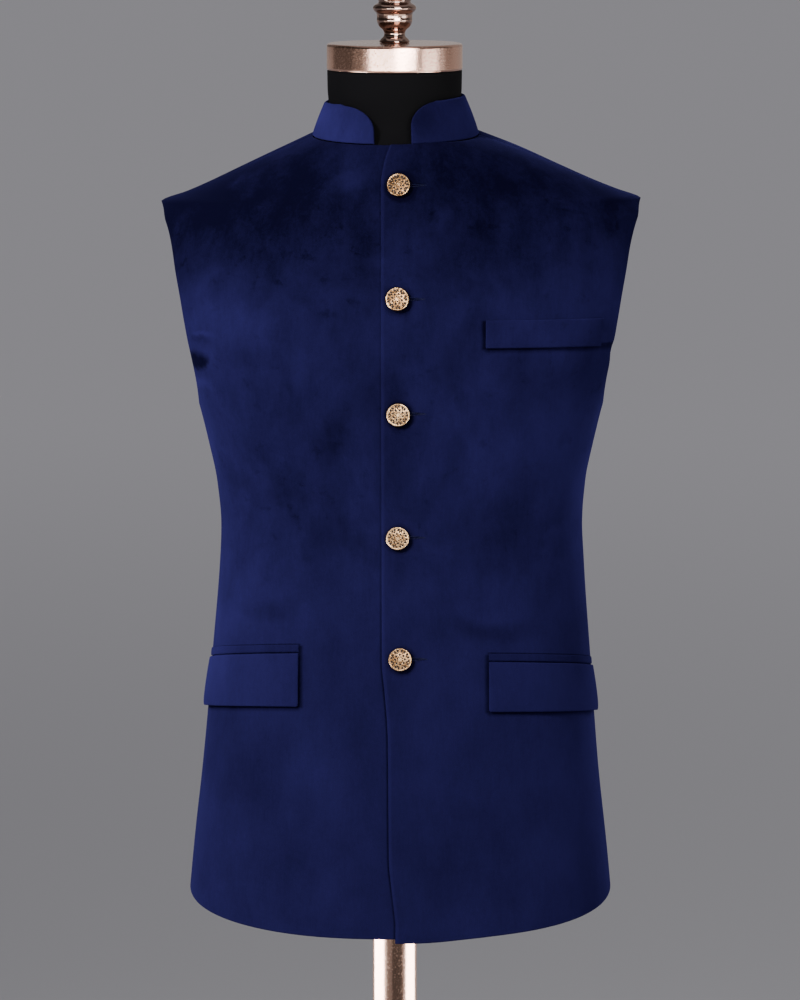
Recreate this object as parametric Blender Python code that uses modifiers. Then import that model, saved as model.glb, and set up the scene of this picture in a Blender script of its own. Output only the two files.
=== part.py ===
"""A sleeveless band-collar jacket, closed by five buttons, on a limbless dress form with a pole stand.

Metres, +Z up, the front faces -Y and the wearer's left is +X. The origin is on the floor under the jacket.
Every sheet of cloth is cut from one body surface, given by horizontal sections, so its seams meet.
"""
import math

import bmesh
import bpy
import numpy as np

# Cloth
WALL = 0.0020
SEAM_GAP = 0.0003
COLLAR_WALL = 0.0025
COLLAR_GAP = 0.0006

# Body surface: one row per horizontal section, from the hem to the neckline
SECTION_NAMES = ("height", "half_width", "front", "back", "roundness", "shift", "front_tilt", "back_tilt")
SECTIONS = (
    (0.7690, 0.2008, 0.1400, 0.1330, 2.45, 0.0000, -0.0190, -0.0190),
    (0.8111, 0.1966, 0.1360, 0.1300, 2.45, 0.0000, 0.0000, 0.0000),
    (0.8894, 0.1876, 0.1310, 0.1260, 2.45, 0.0000, 0.0000, 0.0000),
    (0.9865, 0.1790, 0.1250, 0.1170, 2.45, 0.0005, 0.0000, 0.0000),
    (1.0829, 0.1711, 0.1170, 0.1050, 2.42, 0.0010, 0.0000, 0.0000),
    (1.1213, 0.1690, 0.1160, 0.1020, 2.40, 0.0010, 0.0000, 0.0000),
    (1.1596, 0.1722, 0.1170, 0.1030, 2.38, 0.0010, 0.0000, 0.0000),
    (1.1977, 0.1803, 0.1190, 0.1070, 2.36, 0.0010, 0.0000, 0.0000),
    (1.2371, 0.1900, 0.1220, 0.1120, 2.34, 0.0010, 0.0000, 0.0000),
    (1.2986, 0.2088, 0.1240, 0.1180, 2.30, 0.0010, 0.0000, 0.0000),
    (1.3365, 0.2195, 0.1210, 0.1190, 2.25, 0.0010, 0.0000, 0.0000),
    (1.3731, 0.2285, 0.1150, 0.1170, 2.15, 0.0010, 0.0000, 0.0000),
    (1.4088, 0.2290, 0.1070, 0.1120, 1.95, 0.0015, 0.0000, 0.0020),
    (1.4252, 0.2228, 0.1020, 0.1080, 1.78, 0.0008, 0.0000, 0.0040),
    (1.4327, 0.2035, 0.0995, 0.1055, 1.78, 0.0020, -0.0005, 0.0050),
    (1.4402, 0.1848, 0.0970, 0.1030, 1.78, 0.0015, -0.0010, 0.0060),
    (1.4551, 0.1512, 0.0920, 0.0960, 1.82, 0.0005, -0.0020, 0.0080),
    (1.4700, 0.1172, 0.0860, 0.0870, 1.90, -0.0005, -0.0030, 0.0090),
    (1.4854, 0.0778, 0.0780, 0.0750, 2.00, -0.0040, -0.0040, 0.0100),
)
HEM = 0.7690
UNDERARM = 1.2320
SHOULDER_TIP = 1.4252
NECKLINE = 1.4854
ARMHOLE_FRONT = 0.054
ARMHOLE_BACK = 0.047
ARMHOLE_SQUARENESS = 2.4

# Mesh rows: heights of the panel rows, closer together where the armhole turns
LOW_ROWS = (0.7690, 0.7780, 0.7950, 0.8250, 0.8700, 0.9200, 0.9700, 1.0200, 1.0650, 1.1050, 1.1400, 1.1750, 1.2050)
ARMHOLE_ROWS = (1.2320, 1.2328, 1.2360, 1.2440, 1.2580, 1.2780, 1.3020, 1.3285, 1.3550, 1.3790, 1.3990, 1.4130,
                1.4210, 1.4244)
SHOULDER_ROWS = (1.4252, 1.4327, 1.4402, 1.4477, 1.4551, 1.4626, 1.4700, 1.4777, 1.4854)
FRONT_COLUMNS = 14
BACK_COLUMNS = 22

# Fronts: the left one lies on the right one
EDGE_NAMES = ("height", "x")
LEFT_EDGE = (
    (0.7690, -0.0043),
    (0.7850, -0.0062),
    (0.8250, -0.0104),
    (0.9370, -0.0113),
    (0.9765, -0.0139),
    (1.0100, -0.0168),
    (1.4476, -0.0173),
    (1.4650, -0.0155),
    (1.4854, -0.0100),
)
RIGHT_EDGE_X = 0.021
LIFT_GAP = 0.0007
LIFT_FULL_X = 0.024
LIFT_END_X = 0.062
LEFT_HEM_DIP = 0.0036
LEFT_HEM_DIP_REACH = 0.100
HEM_DIP_TOP = 0.8250

# Band collar, with ends as distances from the middle of the neck
COLLAR_HEIGHT = 0.0335
COLLAR_TOP = {"half_width": 0.0652, "front": 0.0680, "back": 0.0660}
COLLAR_BASE_TILT = (-0.004, 0.010)
COLLAR_TOP_TILT = (-0.002, 0.008)
COLLAR_RIGHT_END = {"start": -0.0197, "reach": 0.030, "round_from": 0.35}
COLLAR_LEFT_END = {"start": 0.0148, "reach": 0.024, "round_from": 0.45}
COLLAR_LEVELS = (0.0, 0.25, 0.50, 0.66, 0.78, 0.87, 0.935, 0.98, 1.0)
COLLAR_COLUMNS = 30
NECK_X = -0.005

# Pockets: distances along the cloth from the front's middle line, and heights at the inner and outer end
PATCH_COLUMNS = 10
JET_WALL = 0.0009
FLAP_WALL = 0.0022
FLAP_LIFTS = (0.0012, 0.0010, 0.0007, 0.0004)
POCKET_NAMES = ("side", "inner", "outer", "jet_top_in", "jet_top_out", "flap_top_in", "flap_top_out",
                "flap_low_in", "flap_low_out")
POCKETS = {
    "right": (-1, 0.0945, 0.2320, 1.0228, 1.0015, 1.0154, 0.9935, 0.9655, 0.9475),
    "left": (1, 0.0825, 0.2320, 1.0152, 0.9935, 1.0080, 0.9862, 0.9612, 0.9433),
}
WELT_WALL = 0.0022
WELT_LIFTS = (0.0003, 0.0004, 0.0006)
WELT = {"inner": 0.0782, "outer": 0.1962, "low_in": 1.2990, "low_out": 1.2955, "top_in": 1.3242, "top_out": 1.3212}

# Buttons
BUTTON_SPOTS = (
    (-0.0018, 1.4472),
    (-0.0027, 1.3448),
    (-0.0018, 1.2388),
    (-0.0023, 1.1229),
    (0.0000, 1.0117),
)
BUTTON_PROFILE = (
    (0.0000, 0.0060),
    (0.0042, 0.0057),
    (0.0078, 0.0047),
    (0.0092, 0.0045),
    (0.0105, 0.0035),
    (0.0098, 0.0022),
    (0.0030, 0.0018),
    (0.0026, 0.0004),
    (0.0000, 0.0004),
)
BUTTON_STEPS = 20

# Dress form and stand
FORM_ROWS = (0.8050, 0.8300, 0.8900, 0.9600, 1.0300, 1.0900, 1.1400, 1.1900, 1.2300, 1.2700, 1.3100, 1.3500, 1.3850,
             1.4100, 1.4252, 1.4402, 1.4551, 1.4700, 1.4780)
FORM_COLUMNS = 32
CLEAR_NAMES = ("height", "gap")
FORM_CLEARANCE = (
    (0.8050, 0.0100),
    (0.9600, 0.0080),
    (1.1200, 0.0060),
    (1.3000, 0.0038),
    (1.4100, 0.0018),
    (1.4854, 0.0014),
)
ARM_PLATE = {"low": 1.2320, "high": 1.4200, "x_low": 0.1790, "x_high": 0.2130}
NECK_RINGS = (
    (1.4860, 0.0665),
    (1.4940, 0.0625),
    (1.5040, 0.0612),
    (1.5450, 0.0612),
)
CAP_RADIUS = 0.0632
CAP_LOW = 1.5455
CAP_HEIGHT = 0.0250
CAP_BEVEL = 0.0012
FINIAL_LOW = 1.5708
FINIAL_PROFILE = (
    (0.0000, 0.0800),
    (0.0045, 0.0788),
    (0.0078, 0.0745),
    (0.0078, 0.0690),
    (0.0050, 0.0650),
    (0.0070, 0.0615),
    (0.0130, 0.0560),
    (0.0165, 0.0480),
    (0.0160, 0.0405),
    (0.0150, 0.0375),
    (0.0192, 0.0345),
    (0.0202, 0.0318),
    (0.0190, 0.0292),
    (0.0170, 0.0272),
    (0.0166, 0.0235),
    (0.0165, 0.0195),
    (0.0145, 0.0150),
    (0.0105, 0.0110),
    (0.0100, 0.0065),
    (0.0130, 0.0032),
    (0.0133, 0.0000),
    (0.0000, 0.0000),
)
POLE_RADIUS = 0.0212
POLE_TOP = 0.8030
BASE_PROFILE = (
    (0.0000, 0.0160),
    (0.0300, 0.0160),
    (0.0340, 0.0130),
    (0.0360, 0.0110),
    (0.1860, 0.0080),
    (0.1900, 0.0055),
    (0.1900, 0.0000),
    (0.0000, 0.0000),
)
BASE_TOP = 0.0160
TURN_STEPS = 36
FINIAL_STEPS = 18


def clear_scene():
    for old in list(bpy.data.objects):
        bpy.data.objects.remove(old, do_unlink=True)


def make_material(name, colour, roughness, metallic):
    material = bpy.data.materials.new(name)
    material.use_nodes = True
    shader = material.node_tree.nodes["Principled BSDF"]
    shader.inputs["Base Color"].default_value = (*colour, 1.0)
    shader.inputs["Roughness"].default_value = roughness
    shader.inputs["Metallic"].default_value = metallic
    material.diffuse_color = (*colour, 1.0)
    return material


def read_column(table, names, name, height):
    """One column of a table at any height, with slopes that never overshoot the rows."""
    rows = np.array(table, dtype=float)
    heights = rows[:, 0]
    values = rows[:, names.index(name)]
    steps = np.diff(heights)
    rises = np.diff(values) / steps
    slopes = np.zeros(len(values))
    same_way = rises[:-1] * rises[1:] > 0
    paired = np.where(same_way, rises[:-1] + rises[1:], 1.0)
    slopes[1:-1] = np.where(same_way, 2 * rises[:-1] * rises[1:] / paired, 0.0)
    slopes[0] = rises[0]
    slopes[-1] = rises[-1]
    where = np.clip(np.asarray(height, dtype=float), heights[0], heights[-1])
    low = np.clip(np.searchsorted(heights, where, side="right") - 1, 0, len(steps) - 1)
    t = (where - heights[low]) / steps[low]
    return (
        values[low] * (1 + 2 * t) * (1 - t) ** 2
        + slopes[low] * steps[low] * t * (1 - t) ** 2
        + values[low + 1] * t ** 2 * (3 - 2 * t)
        - slopes[low + 1] * steps[low] * t ** 2 * (1 - t)
    )


def measure(name, height):
    return read_column(SECTIONS, SECTION_NAMES, name, height)


def body_points(height, angles):
    """Points of the body surface at one height: angle 0 is the wearer's left side and -pi/2 the front."""
    power = 2.0 / measure("roundness", height)
    across = np.cos(angles)
    along = np.sin(angles)
    is_front = along < 0
    depth = np.where(is_front, measure("front", height), measure("back", height))
    tilt = np.where(is_front, measure("front_tilt", height), measure("back_tilt", height))
    x = measure("half_width", height) * np.sign(across) * np.abs(across) ** power + measure("shift", height)
    y = depth * np.sign(along) * np.abs(along) ** power
    z = height + tilt * np.abs(along) ** power
    return np.stack([x, y, z], axis=-1)


def angle_at_x(height, x):
    """The angle on the front where the surface is this far from the middle."""
    share = np.clip((x - measure("shift", height)) / measure("half_width", height), -1.0, 1.0)
    return -math.acos(np.sign(share) * abs(share) ** (measure("roundness", height) / 2))


def angle_at_depth(height, depth, column):
    share = min(depth / measure(column, height), 1.0)
    return math.asin(share ** (measure("roundness", height) / 2))


def armhole_depth(height, deepest):
    """How far the armhole edge stands in front of or behind the side line."""
    middle = (UNDERARM + SHOULDER_TIP) / 2
    t = abs(height - middle) / (SHOULDER_TIP - middle)
    return deepest * math.sqrt(max(0.0, 1 - min(t, 1.0) ** ARMHOLE_SQUARENESS))


def side_angle(height, column, deepest):
    """Where a panel ends beside the side seam, the armhole or the shoulder seam, half a seam gap short of it."""
    depth = max(SEAM_GAP / 2, armhole_depth(height, deepest))
    return angle_at_depth(height, depth, column)


def spread_evenly(points, count):
    """The same line with count + 1 points at equal distances along it."""
    steps = np.linalg.norm(np.diff(points, axis=0), axis=1)
    along = np.concatenate([[0.0], np.cumsum(steps)])
    wanted = np.linspace(0.0, along[-1], count + 1)
    return np.stack([np.interp(wanted, along, points[:, i]) for i in range(3)], axis=-1)


def surface_row(height, start, end, columns):
    return spread_evenly(body_points(height, np.linspace(start, end, 240)), columns)


def grid_normals(grid, outward_from):
    """Unit normals of a grid of points, pointing away from a vertical axis at outward_from."""
    along = np.gradient(grid, axis=1)
    up = np.gradient(grid, axis=0)
    normals = np.cross(along, up)
    normals /= np.linalg.norm(normals, axis=2, keepdims=True)
    away = grid - np.array([*outward_from, 0.0])
    away[..., 2] = 0.0
    if (normals * away).sum() < 0:
        normals = -normals
    return normals


def flatten_seam(normals, column):
    """Keeps the cut edge of a panel square to its seam, which lies in the plane between front and back."""
    normals[:, column, 1] = 0.0
    normals[:, column] /= np.linalg.norm(normals[:, column], axis=1, keepdims=True)


def panel_rows():
    return LOW_ROWS + ARMHOLE_ROWS + SHOULDER_ROWS


def front_grid(side):
    """Outer points and normals of one front, from its front edge to the side."""
    rows = []
    for height in panel_rows():
        end = side_angle(height, "front", ARMHOLE_FRONT)
        if side > 0:
            start = angle_at_x(height, float(read_column(LEFT_EDGE, EDGE_NAMES, "x", height)))
            rows.append(surface_row(height, start, -end, FRONT_COLUMNS))
        else:
            start = angle_at_x(height, RIGHT_EDGE_X)
            rows.append(surface_row(height, start, end - math.pi, FRONT_COLUMNS))
    grid = np.array(rows)
    normals = grid_normals(grid, (0.0, 0.0))
    flatten_seam(normals, -1)
    return grid, normals


def ease(t):
    t = np.clip(t, 0.0, 1.0)
    return t * t * (3 - 2 * t)


def left_lift(x):
    """The left front lies a wall and a gap outside the right one near the middle."""
    return (WALL + LIFT_GAP) * (1 - ease((x - LIFT_FULL_X) / (LIFT_END_X - LIFT_FULL_X)))


def dip_left_hem(grid):
    near_hem = 1 - ease((grid[..., 2] - HEM) / (HEM_DIP_TOP - HEM))
    near_front = 1 - ease(grid[..., 0] / LEFT_HEM_DIP_REACH)
    grid[..., 2] -= LEFT_HEM_DIP * near_hem * near_front


def add_object(name, verts, faces, material, collection):
    mesh = bpy.data.meshes.new(name)
    mesh.from_pydata([tuple(v) for v in verts], [], faces)
    shell = bmesh.new()
    shell.from_mesh(mesh)
    bmesh.ops.recalc_face_normals(shell, faces=shell.faces)
    shell.to_mesh(mesh)
    shell.free()
    mesh.materials.append(material)
    made = bpy.data.objects.new(name, mesh)
    collection.objects.link(made)
    return made


def add_sheet(name, outer, inner, material, collection):
    """A closed sheet of cloth between two grids of points."""
    rows, columns = outer.shape[:2]
    count = rows * columns
    verts = np.concatenate([outer.reshape(-1, 3), inner.reshape(-1, 3)])

    def spot(row, column, layer):
        return layer * count + row * columns + column

    faces = []
    for r in range(rows - 1):
        for c in range(columns - 1):
            for layer in (0, 1):
                faces.append((spot(r, c, layer), spot(r, c + 1, layer), spot(r + 1, c + 1, layer),
                              spot(r + 1, c, layer)))
    for r in range(rows - 1):
        for c in (0, columns - 1):
            faces.append((spot(r, c, 0), spot(r + 1, c, 0), spot(r + 1, c, 1), spot(r, c, 1)))
    for c in range(columns - 1):
        for r in (0, rows - 1):
            faces.append((spot(r, c, 0), spot(r, c + 1, 0), spot(r, c + 1, 1), spot(r, c, 1)))
    return add_object(name, verts, faces, material, collection)


def add_fronts(velvet, collection):
    grid, normals = front_grid(-1)
    add_sheet("right_front", grid, grid - WALL * normals, velvet, collection)
    grid, normals = front_grid(1)
    dip_left_hem(grid)
    outer = grid + left_lift(grid[..., :1]) * normals
    add_sheet("left_front", outer, outer - WALL * normals, velvet, collection)


def add_back(velvet, collection):
    rows = []
    for height in panel_rows():
        start = side_angle(height, "back", ARMHOLE_BACK)
        rows.append(surface_row(height, start, math.pi - start, BACK_COLUMNS))
    grid = np.array(rows)
    normals = grid_normals(grid, (0.0, 0.0))
    flatten_seam(normals, 0)
    flatten_seam(normals, -1)
    add_sheet("back", grid, grid - WALL * normals, velvet, collection)


def collar_ring(level, angles):
    """Points of the collar's outer face at a share of its height."""
    def between(low, high):
        return low + (high - low) * level

    front = between(measure("front", NECKLINE), COLLAR_TOP["front"])
    back = between(measure("back", NECKLINE), COLLAR_TOP["back"])
    half_width = between(measure("half_width", NECKLINE), COLLAR_TOP["half_width"])
    front_tilt = between(COLLAR_BASE_TILT[0], COLLAR_TOP_TILT[0])
    back_tilt = between(COLLAR_BASE_TILT[1], COLLAR_TOP_TILT[1])
    along = np.sin(angles)
    x = half_width * np.cos(angles) + between(measure("shift", NECKLINE), NECK_X)
    y = np.where(along < 0, front, back) * along
    z = NECKLINE + COLLAR_GAP + COLLAR_HEIGHT * level + np.where(along < 0, front_tilt, back_tilt) * np.abs(along)
    return np.stack([x, y, z], axis=-1)


def collar_end(end, level):
    """Distance of a collar end from the middle of the neck: straight, then a rounded upper corner."""
    t = max(0.0, (level - end["round_from"]) / (1 - end["round_from"]))
    return end["start"] + math.copysign(end["reach"] * (1 - math.sqrt(1 - t * t)), end["start"])


def add_collar(velvet, collection):
    rows = []
    for level in COLLAR_LEVELS:
        base = measure("half_width", NECKLINE)
        half_width = base + (COLLAR_TOP["half_width"] - base) * level
        start = -math.acos(collar_end(COLLAR_LEFT_END, level) / half_width)
        end = math.acos(-collar_end(COLLAR_RIGHT_END, level) / half_width) + math.pi
        rows.append(spread_evenly(collar_ring(level, np.linspace(start, end, 360)), COLLAR_COLUMNS))
    grid = np.array(rows)
    normals = grid_normals(grid, (NECK_X, 0.0))
    normals[..., 2] *= 0.5
    normals /= np.linalg.norm(normals, axis=2, keepdims=True)
    add_sheet("collar", grid, grid - COLLAR_WALL * normals, velvet, collection)


def front_line(side, height):
    """Points along one front at one height, from its middle line to the side, with their distances."""
    middle = angle_at_x(height, 0.0)
    end = 0.0 if side > 0 else -math.pi
    points = body_points(height, np.linspace(middle, end, 200))
    steps = np.linalg.norm(np.diff(points, axis=0), axis=1)
    return points, np.concatenate([[0.0], np.cumsum(steps)])


def front_spot(side, distance, height):
    points, along = front_line(side, height)
    return np.array([np.interp(distance, along, points[:, i]) for i in range(3)])


def patch_grid(side, inner, outer, low, top, levels):
    """Points on a front between two distances, with low and top heights at the inner and outer end."""
    rows = []
    for level in levels:
        row = []
        for share in np.linspace(0.0, 1.0, PATCH_COLUMNS + 1):
            bottom = low[0] + (low[1] - low[0]) * share
            upper = top[0] + (top[1] - top[0]) * share
            row.append(front_spot(side, inner + (outer - inner) * share, bottom + (upper - bottom) * level))
        rows.append(row)
    grid = np.array(rows)
    return grid, grid_normals(grid, (0.0, 0.0))


def add_patch(name, grid, normals, lifts, wall, material, collection):
    """A sheet on top of a front, moved out by lifts, one for each row from low to top."""
    inner = grid + np.array(lifts)[:, None, None] * normals
    add_sheet(name, inner + wall * normals, inner, material, collection)


def add_pocket(which, velvet, collection):
    values = dict(zip(POCKET_NAMES, POCKETS[which]))
    side, inner, outer = values["side"], values["inner"], values["outer"]
    jet_low = (values["flap_top_in"] + SEAM_GAP, values["flap_top_out"] + SEAM_GAP)
    jet_top = (values["jet_top_in"], values["jet_top_out"])
    grid, normals = patch_grid(side, inner, outer, jet_low, jet_top, (0.0, 1.0))
    add_patch("jet_" + which, grid, normals, (SEAM_GAP, SEAM_GAP), JET_WALL, velvet, collection)
    flap_low = (values["flap_low_in"], values["flap_low_out"])
    flap_top = (values["flap_top_in"], values["flap_top_out"])
    grid, normals = patch_grid(side, inner, outer, flap_low, flap_top, (0.0, 0.33, 0.67, 1.0))
    add_patch("flap_" + which, grid, normals, FLAP_LIFTS, FLAP_WALL, velvet, collection)


def add_welt(velvet, collection):
    low = (WELT["low_in"], WELT["low_out"])
    top = (WELT["top_in"], WELT["top_out"])
    grid, normals = patch_grid(1, WELT["inner"], WELT["outer"], low, top, (0.0, 0.5, 1.0))
    add_patch("breast_welt", grid, normals, WELT_LIFTS, WELT_WALL, velvet, collection)


def add_turned(name, profile, steps, material, collection):
    """A round piece from a profile that runs down its outer side."""
    mesh = bpy.data.meshes.new(name)
    verts = [(radius, 0.0, height) for radius, height in profile]
    mesh.from_pydata(verts, [(i, i + 1) for i in range(len(verts) - 1)], [])
    mesh.materials.append(material)
    made = bpy.data.objects.new(name, mesh)
    collection.objects.link(made)
    turn = made.modifiers.new("turn", "SCREW")
    turn.steps = steps
    turn.render_steps = steps
    turn.use_merge_vertices = True
    turn.merge_threshold = 0.00005
    return made


def add_buttons(brass, collection):
    for number, (x, height) in enumerate(BUTTON_SPOTS, start=1):
        angle = angle_at_x(height, x)
        here, along = body_points(height, np.array([angle, angle + 0.01]))
        above = body_points(height + 0.01, np.array([angle_at_x(height + 0.01, x)]))[0]
        normal = np.cross(along - here, above - here)
        normal /= np.linalg.norm(normal)
        spot = here + (WALL + LIFT_GAP) * normal
        button = add_turned(f"button_{number}", BUTTON_PROFILE, BUTTON_STEPS, brass, collection)
        button.location = tuple(spot)
        button.rotation_euler = (math.atan2(-normal[1], normal[2]), 0.0, math.atan2(normal[0], -normal[1]))


def form_grid():
    heights = np.array(FORM_ROWS)
    angles = np.linspace(0.0, 2 * math.pi, FORM_COLUMNS, endpoint=False)
    rows = np.array([body_points(height, angles) for height in heights])
    closed = np.concatenate([rows[:, -1:], rows, rows[:, :1]], axis=1)
    normals = grid_normals(closed, (0.0, 0.0))[:, 1:-1]
    gap = WALL + read_column(FORM_CLEARANCE, CLEAR_NAMES, "gap", heights)[:, None, None]
    inside = rows - gap * normals
    share = (inside[..., 2] - ARM_PLATE["low"]) / (ARM_PLATE["high"] - ARM_PLATE["low"])
    plate = ARM_PLATE["x_low"] + (ARM_PLATE["x_high"] - ARM_PLATE["x_low"]) * np.clip(share, 0.0, 1.2)
    inside[..., 0] = np.clip(inside[..., 0], -plate, plate)
    return inside, angles


def add_form(foam, collection):
    """A smooth torso with flat arm plates and a round neck, closed at its top and bottom."""
    body, angles = form_grid()
    rings = [list(row) for row in body]
    for height, radius in NECK_RINGS:
        rings.append([np.array([NECK_X + radius * math.cos(a), radius * math.sin(a), height]) for a in angles])
    verts = [point for ring in rings for point in ring]
    faces = []
    for r in range(len(rings) - 1):
        for c in range(FORM_COLUMNS):
            after = (c + 1) % FORM_COLUMNS
            low, high = r * FORM_COLUMNS, (r + 1) * FORM_COLUMNS
            faces.append((low + c, low + after, high + after, high + c))
    last = (len(rings) - 1) * FORM_COLUMNS
    faces.append(tuple(range(FORM_COLUMNS)))
    faces.append(tuple(range(last, last + FORM_COLUMNS)))
    add_object("form_torso", verts, faces, foam, collection)


def add_stand(copper, collection):
    cap_top = CAP_LOW + CAP_HEIGHT
    cap = add_turned("neck_cap", (
        (0.0, cap_top),
        (CAP_RADIUS - CAP_BEVEL, cap_top),
        (CAP_RADIUS, cap_top - CAP_BEVEL),
        (CAP_RADIUS, CAP_LOW + CAP_BEVEL),
        (CAP_RADIUS - CAP_BEVEL, CAP_LOW),
        (0.0, CAP_LOW),
    ), TURN_STEPS, copper, collection)
    finial = add_turned("finial", [(radius, FINIAL_LOW + height) for radius, height in FINIAL_PROFILE],
                        FINIAL_STEPS, copper, collection)
    pole = add_turned("pole", (
        (0.0, POLE_TOP),
        (POLE_RADIUS, POLE_TOP),
        (POLE_RADIUS, BASE_TOP + SEAM_GAP),
        (0.0, BASE_TOP + SEAM_GAP),
    ), TURN_STEPS, copper, collection)
    base = add_turned("stand_base", BASE_PROFILE, TURN_STEPS, copper, collection)
    for piece in (cap, finial, pole, base):
        piece.location.x = NECK_X


def main():
    clear_scene()
    collection = bpy.data.collections.new("band_collar_jacket_on_form")
    bpy.context.scene.collection.children.link(collection)
    velvet = make_material("navy_velvet", (0.012, 0.018, 0.110), 0.75, 0.0)
    brass = make_material("antique_brass", (0.62, 0.40, 0.24), 0.35, 1.0)
    foam = make_material("black_jersey", (0.008, 0.008, 0.009), 0.85, 0.0)
    copper = make_material("rose_copper", (0.72, 0.42, 0.32), 0.18, 1.0)
    add_fronts(velvet, collection)
    add_back(velvet, collection)
    add_collar(velvet, collection)
    add_welt(velvet, collection)
    for which in POCKETS:
        add_pocket(which, velvet, collection)
    add_buttons(brass, collection)
    add_form(foam, collection)
    add_stand(copper, collection)


main()
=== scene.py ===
"""The looks of a sleeveless band-collar jacket in navy velvet, buttoned on a dress form with a copper stand.

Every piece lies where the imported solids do: metres, +Z up, the front faces -Y and the wearer's left is +X.
"""
import math

import bpy
import numpy as np
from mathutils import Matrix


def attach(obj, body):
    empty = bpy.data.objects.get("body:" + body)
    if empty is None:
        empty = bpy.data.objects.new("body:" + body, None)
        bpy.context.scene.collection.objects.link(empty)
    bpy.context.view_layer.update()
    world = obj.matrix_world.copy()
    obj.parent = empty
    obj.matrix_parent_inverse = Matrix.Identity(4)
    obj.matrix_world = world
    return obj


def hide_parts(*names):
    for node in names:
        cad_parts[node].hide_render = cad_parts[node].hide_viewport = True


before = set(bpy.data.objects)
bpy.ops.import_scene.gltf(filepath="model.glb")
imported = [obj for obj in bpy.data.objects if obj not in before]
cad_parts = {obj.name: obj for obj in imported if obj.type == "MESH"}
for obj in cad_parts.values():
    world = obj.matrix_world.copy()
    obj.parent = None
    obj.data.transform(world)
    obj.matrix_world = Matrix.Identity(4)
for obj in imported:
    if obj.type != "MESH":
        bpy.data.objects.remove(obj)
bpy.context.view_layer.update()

bl_info = {
    "name": "Band-collar jacket on a dress form",
    "version": (1, 0, 0),
    "blender": (4, 5, 0),
    "location": "3D View > Sidebar > Jacket",
    "description": "Builds the cloth, buttons, sewing, dress form, stand and studio of a velvet jacket",
    "category": "Object",
}

BODY = "root"

# Cloth
WALL = 0.0020
SEAM_GAP = 0.0003
COLLAR_WALL = 0.0025
COLLAR_GAP = 0.0006
ROLL = 0.0011
ROLL_LEFT = 0.95
EDGE_STEPS = (0.0, 0.00012, 0.00035, 0.00070, 0.00115)

# Body surface: one row per horizontal section, from the hem to the neckline
SECTION_NAMES = ("height", "half_width", "front", "back", "roundness", "shift", "front_tilt", "back_tilt")
SECTIONS = (
    (0.7690, 0.2013, 0.1400, 0.1330, 2.45, 0.0005, -0.0190, -0.0190),
    (0.8111, 0.1971, 0.1360, 0.1300, 2.45, 0.0005, 0.0000, 0.0000),
    (0.8894, 0.1881, 0.1310, 0.1260, 2.45, 0.0006, 0.0000, 0.0000),
    (0.9865, 0.1796, 0.1250, 0.1170, 2.45, 0.0012, 0.0000, 0.0000),
    (1.0829, 0.1719, 0.1170, 0.1050, 2.42, 0.0020, 0.0000, 0.0000),
    (1.1213, 0.1702, 0.1160, 0.1020, 2.40, 0.0015, 0.0000, 0.0000),
    (1.1596, 0.1732, 0.1170, 0.1030, 2.38, 0.0009, 0.0000, 0.0000),
    (1.1977, 0.1808, 0.1190, 0.1070, 2.36, 0.0007, 0.0000, 0.0000),
    (1.2371, 0.1905, 0.1220, 0.1120, 2.34, 0.0006, 0.0000, 0.0000),
    (1.2986, 0.2113, 0.1240, 0.1180, 2.30, 0.0006, 0.0000, 0.0000),
    (1.3365, 0.2209, 0.1210, 0.1190, 2.25, 0.0008, 0.0000, 0.0000),
    (1.3731, 0.2285, 0.1150, 0.1170, 2.15, 0.0010, 0.0000, 0.0000),
    (1.4088, 0.2308, 0.1070, 0.1120, 1.95, 0.0017, 0.0000, 0.0020),
    (1.4252, 0.2240, 0.1020, 0.1080, 1.78, 0.0014, 0.0000, 0.0040),
    (1.4327, 0.2035, 0.0995, 0.1055, 1.78, 0.0020, -0.0005, 0.0050),
    (1.4402, 0.1848, 0.0970, 0.1030, 1.78, 0.0015, -0.0010, 0.0060),
    (1.4551, 0.1512, 0.0920, 0.0960, 1.82, 0.0005, -0.0020, 0.0080),
    (1.4700, 0.1172, 0.0860, 0.0870, 1.90, -0.0005, -0.0030, 0.0090),
    (1.4854, 0.0778, 0.0780, 0.0750, 2.00, -0.0040, -0.0040, 0.0100),
)
HEM = 0.7690
HEM_FALL = 1.20
SHOULDER_LEAN = 0.008
LEAN_FULL = 1.4000
UNDERARM = 1.2320
SHOULDER_TIP = 1.4252
NECKLINE = 1.4854
ARMHOLE_FRONT = 0.054
ARMHOLE_BACK = 0.047
ARMHOLE_SQUARENESS = 2.4

# Mesh rows and columns of the panels, and the finer steps that distances are measured in
BODY_ROWS = 84
ARMHOLE_ROWS = 46
SHOULDER_ROWS = 38
FRONT_COLUMNS = 62
BACK_COLUMNS = 116
PANEL_FINE = 500
ARC_FINE = 520
SPOT_FINE = 260

# Fronts: the left one lies on the right one
EDGE_NAMES = ("height", "x")
LEFT_EDGE = (
    (0.7690, -0.0043), (0.7850, -0.0062), (0.8250, -0.0104), (0.9370, -0.0113),
    (0.9765, -0.0139), (1.0100, -0.0168), (1.4476, -0.0173), (1.4650, -0.0150),
    (1.4854, -0.0084),
)
RIGHT_EDGE_X = 0.021
LIFT_GAP = 0.0007
LIFT_FULL_X = 0.024
LIFT_END_X = 0.062
LEFT_HEM_DIP = 0.0036
LEFT_HEM_DIP_REACH = 0.100
HEM_DIP_TOP = 0.8250

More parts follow.
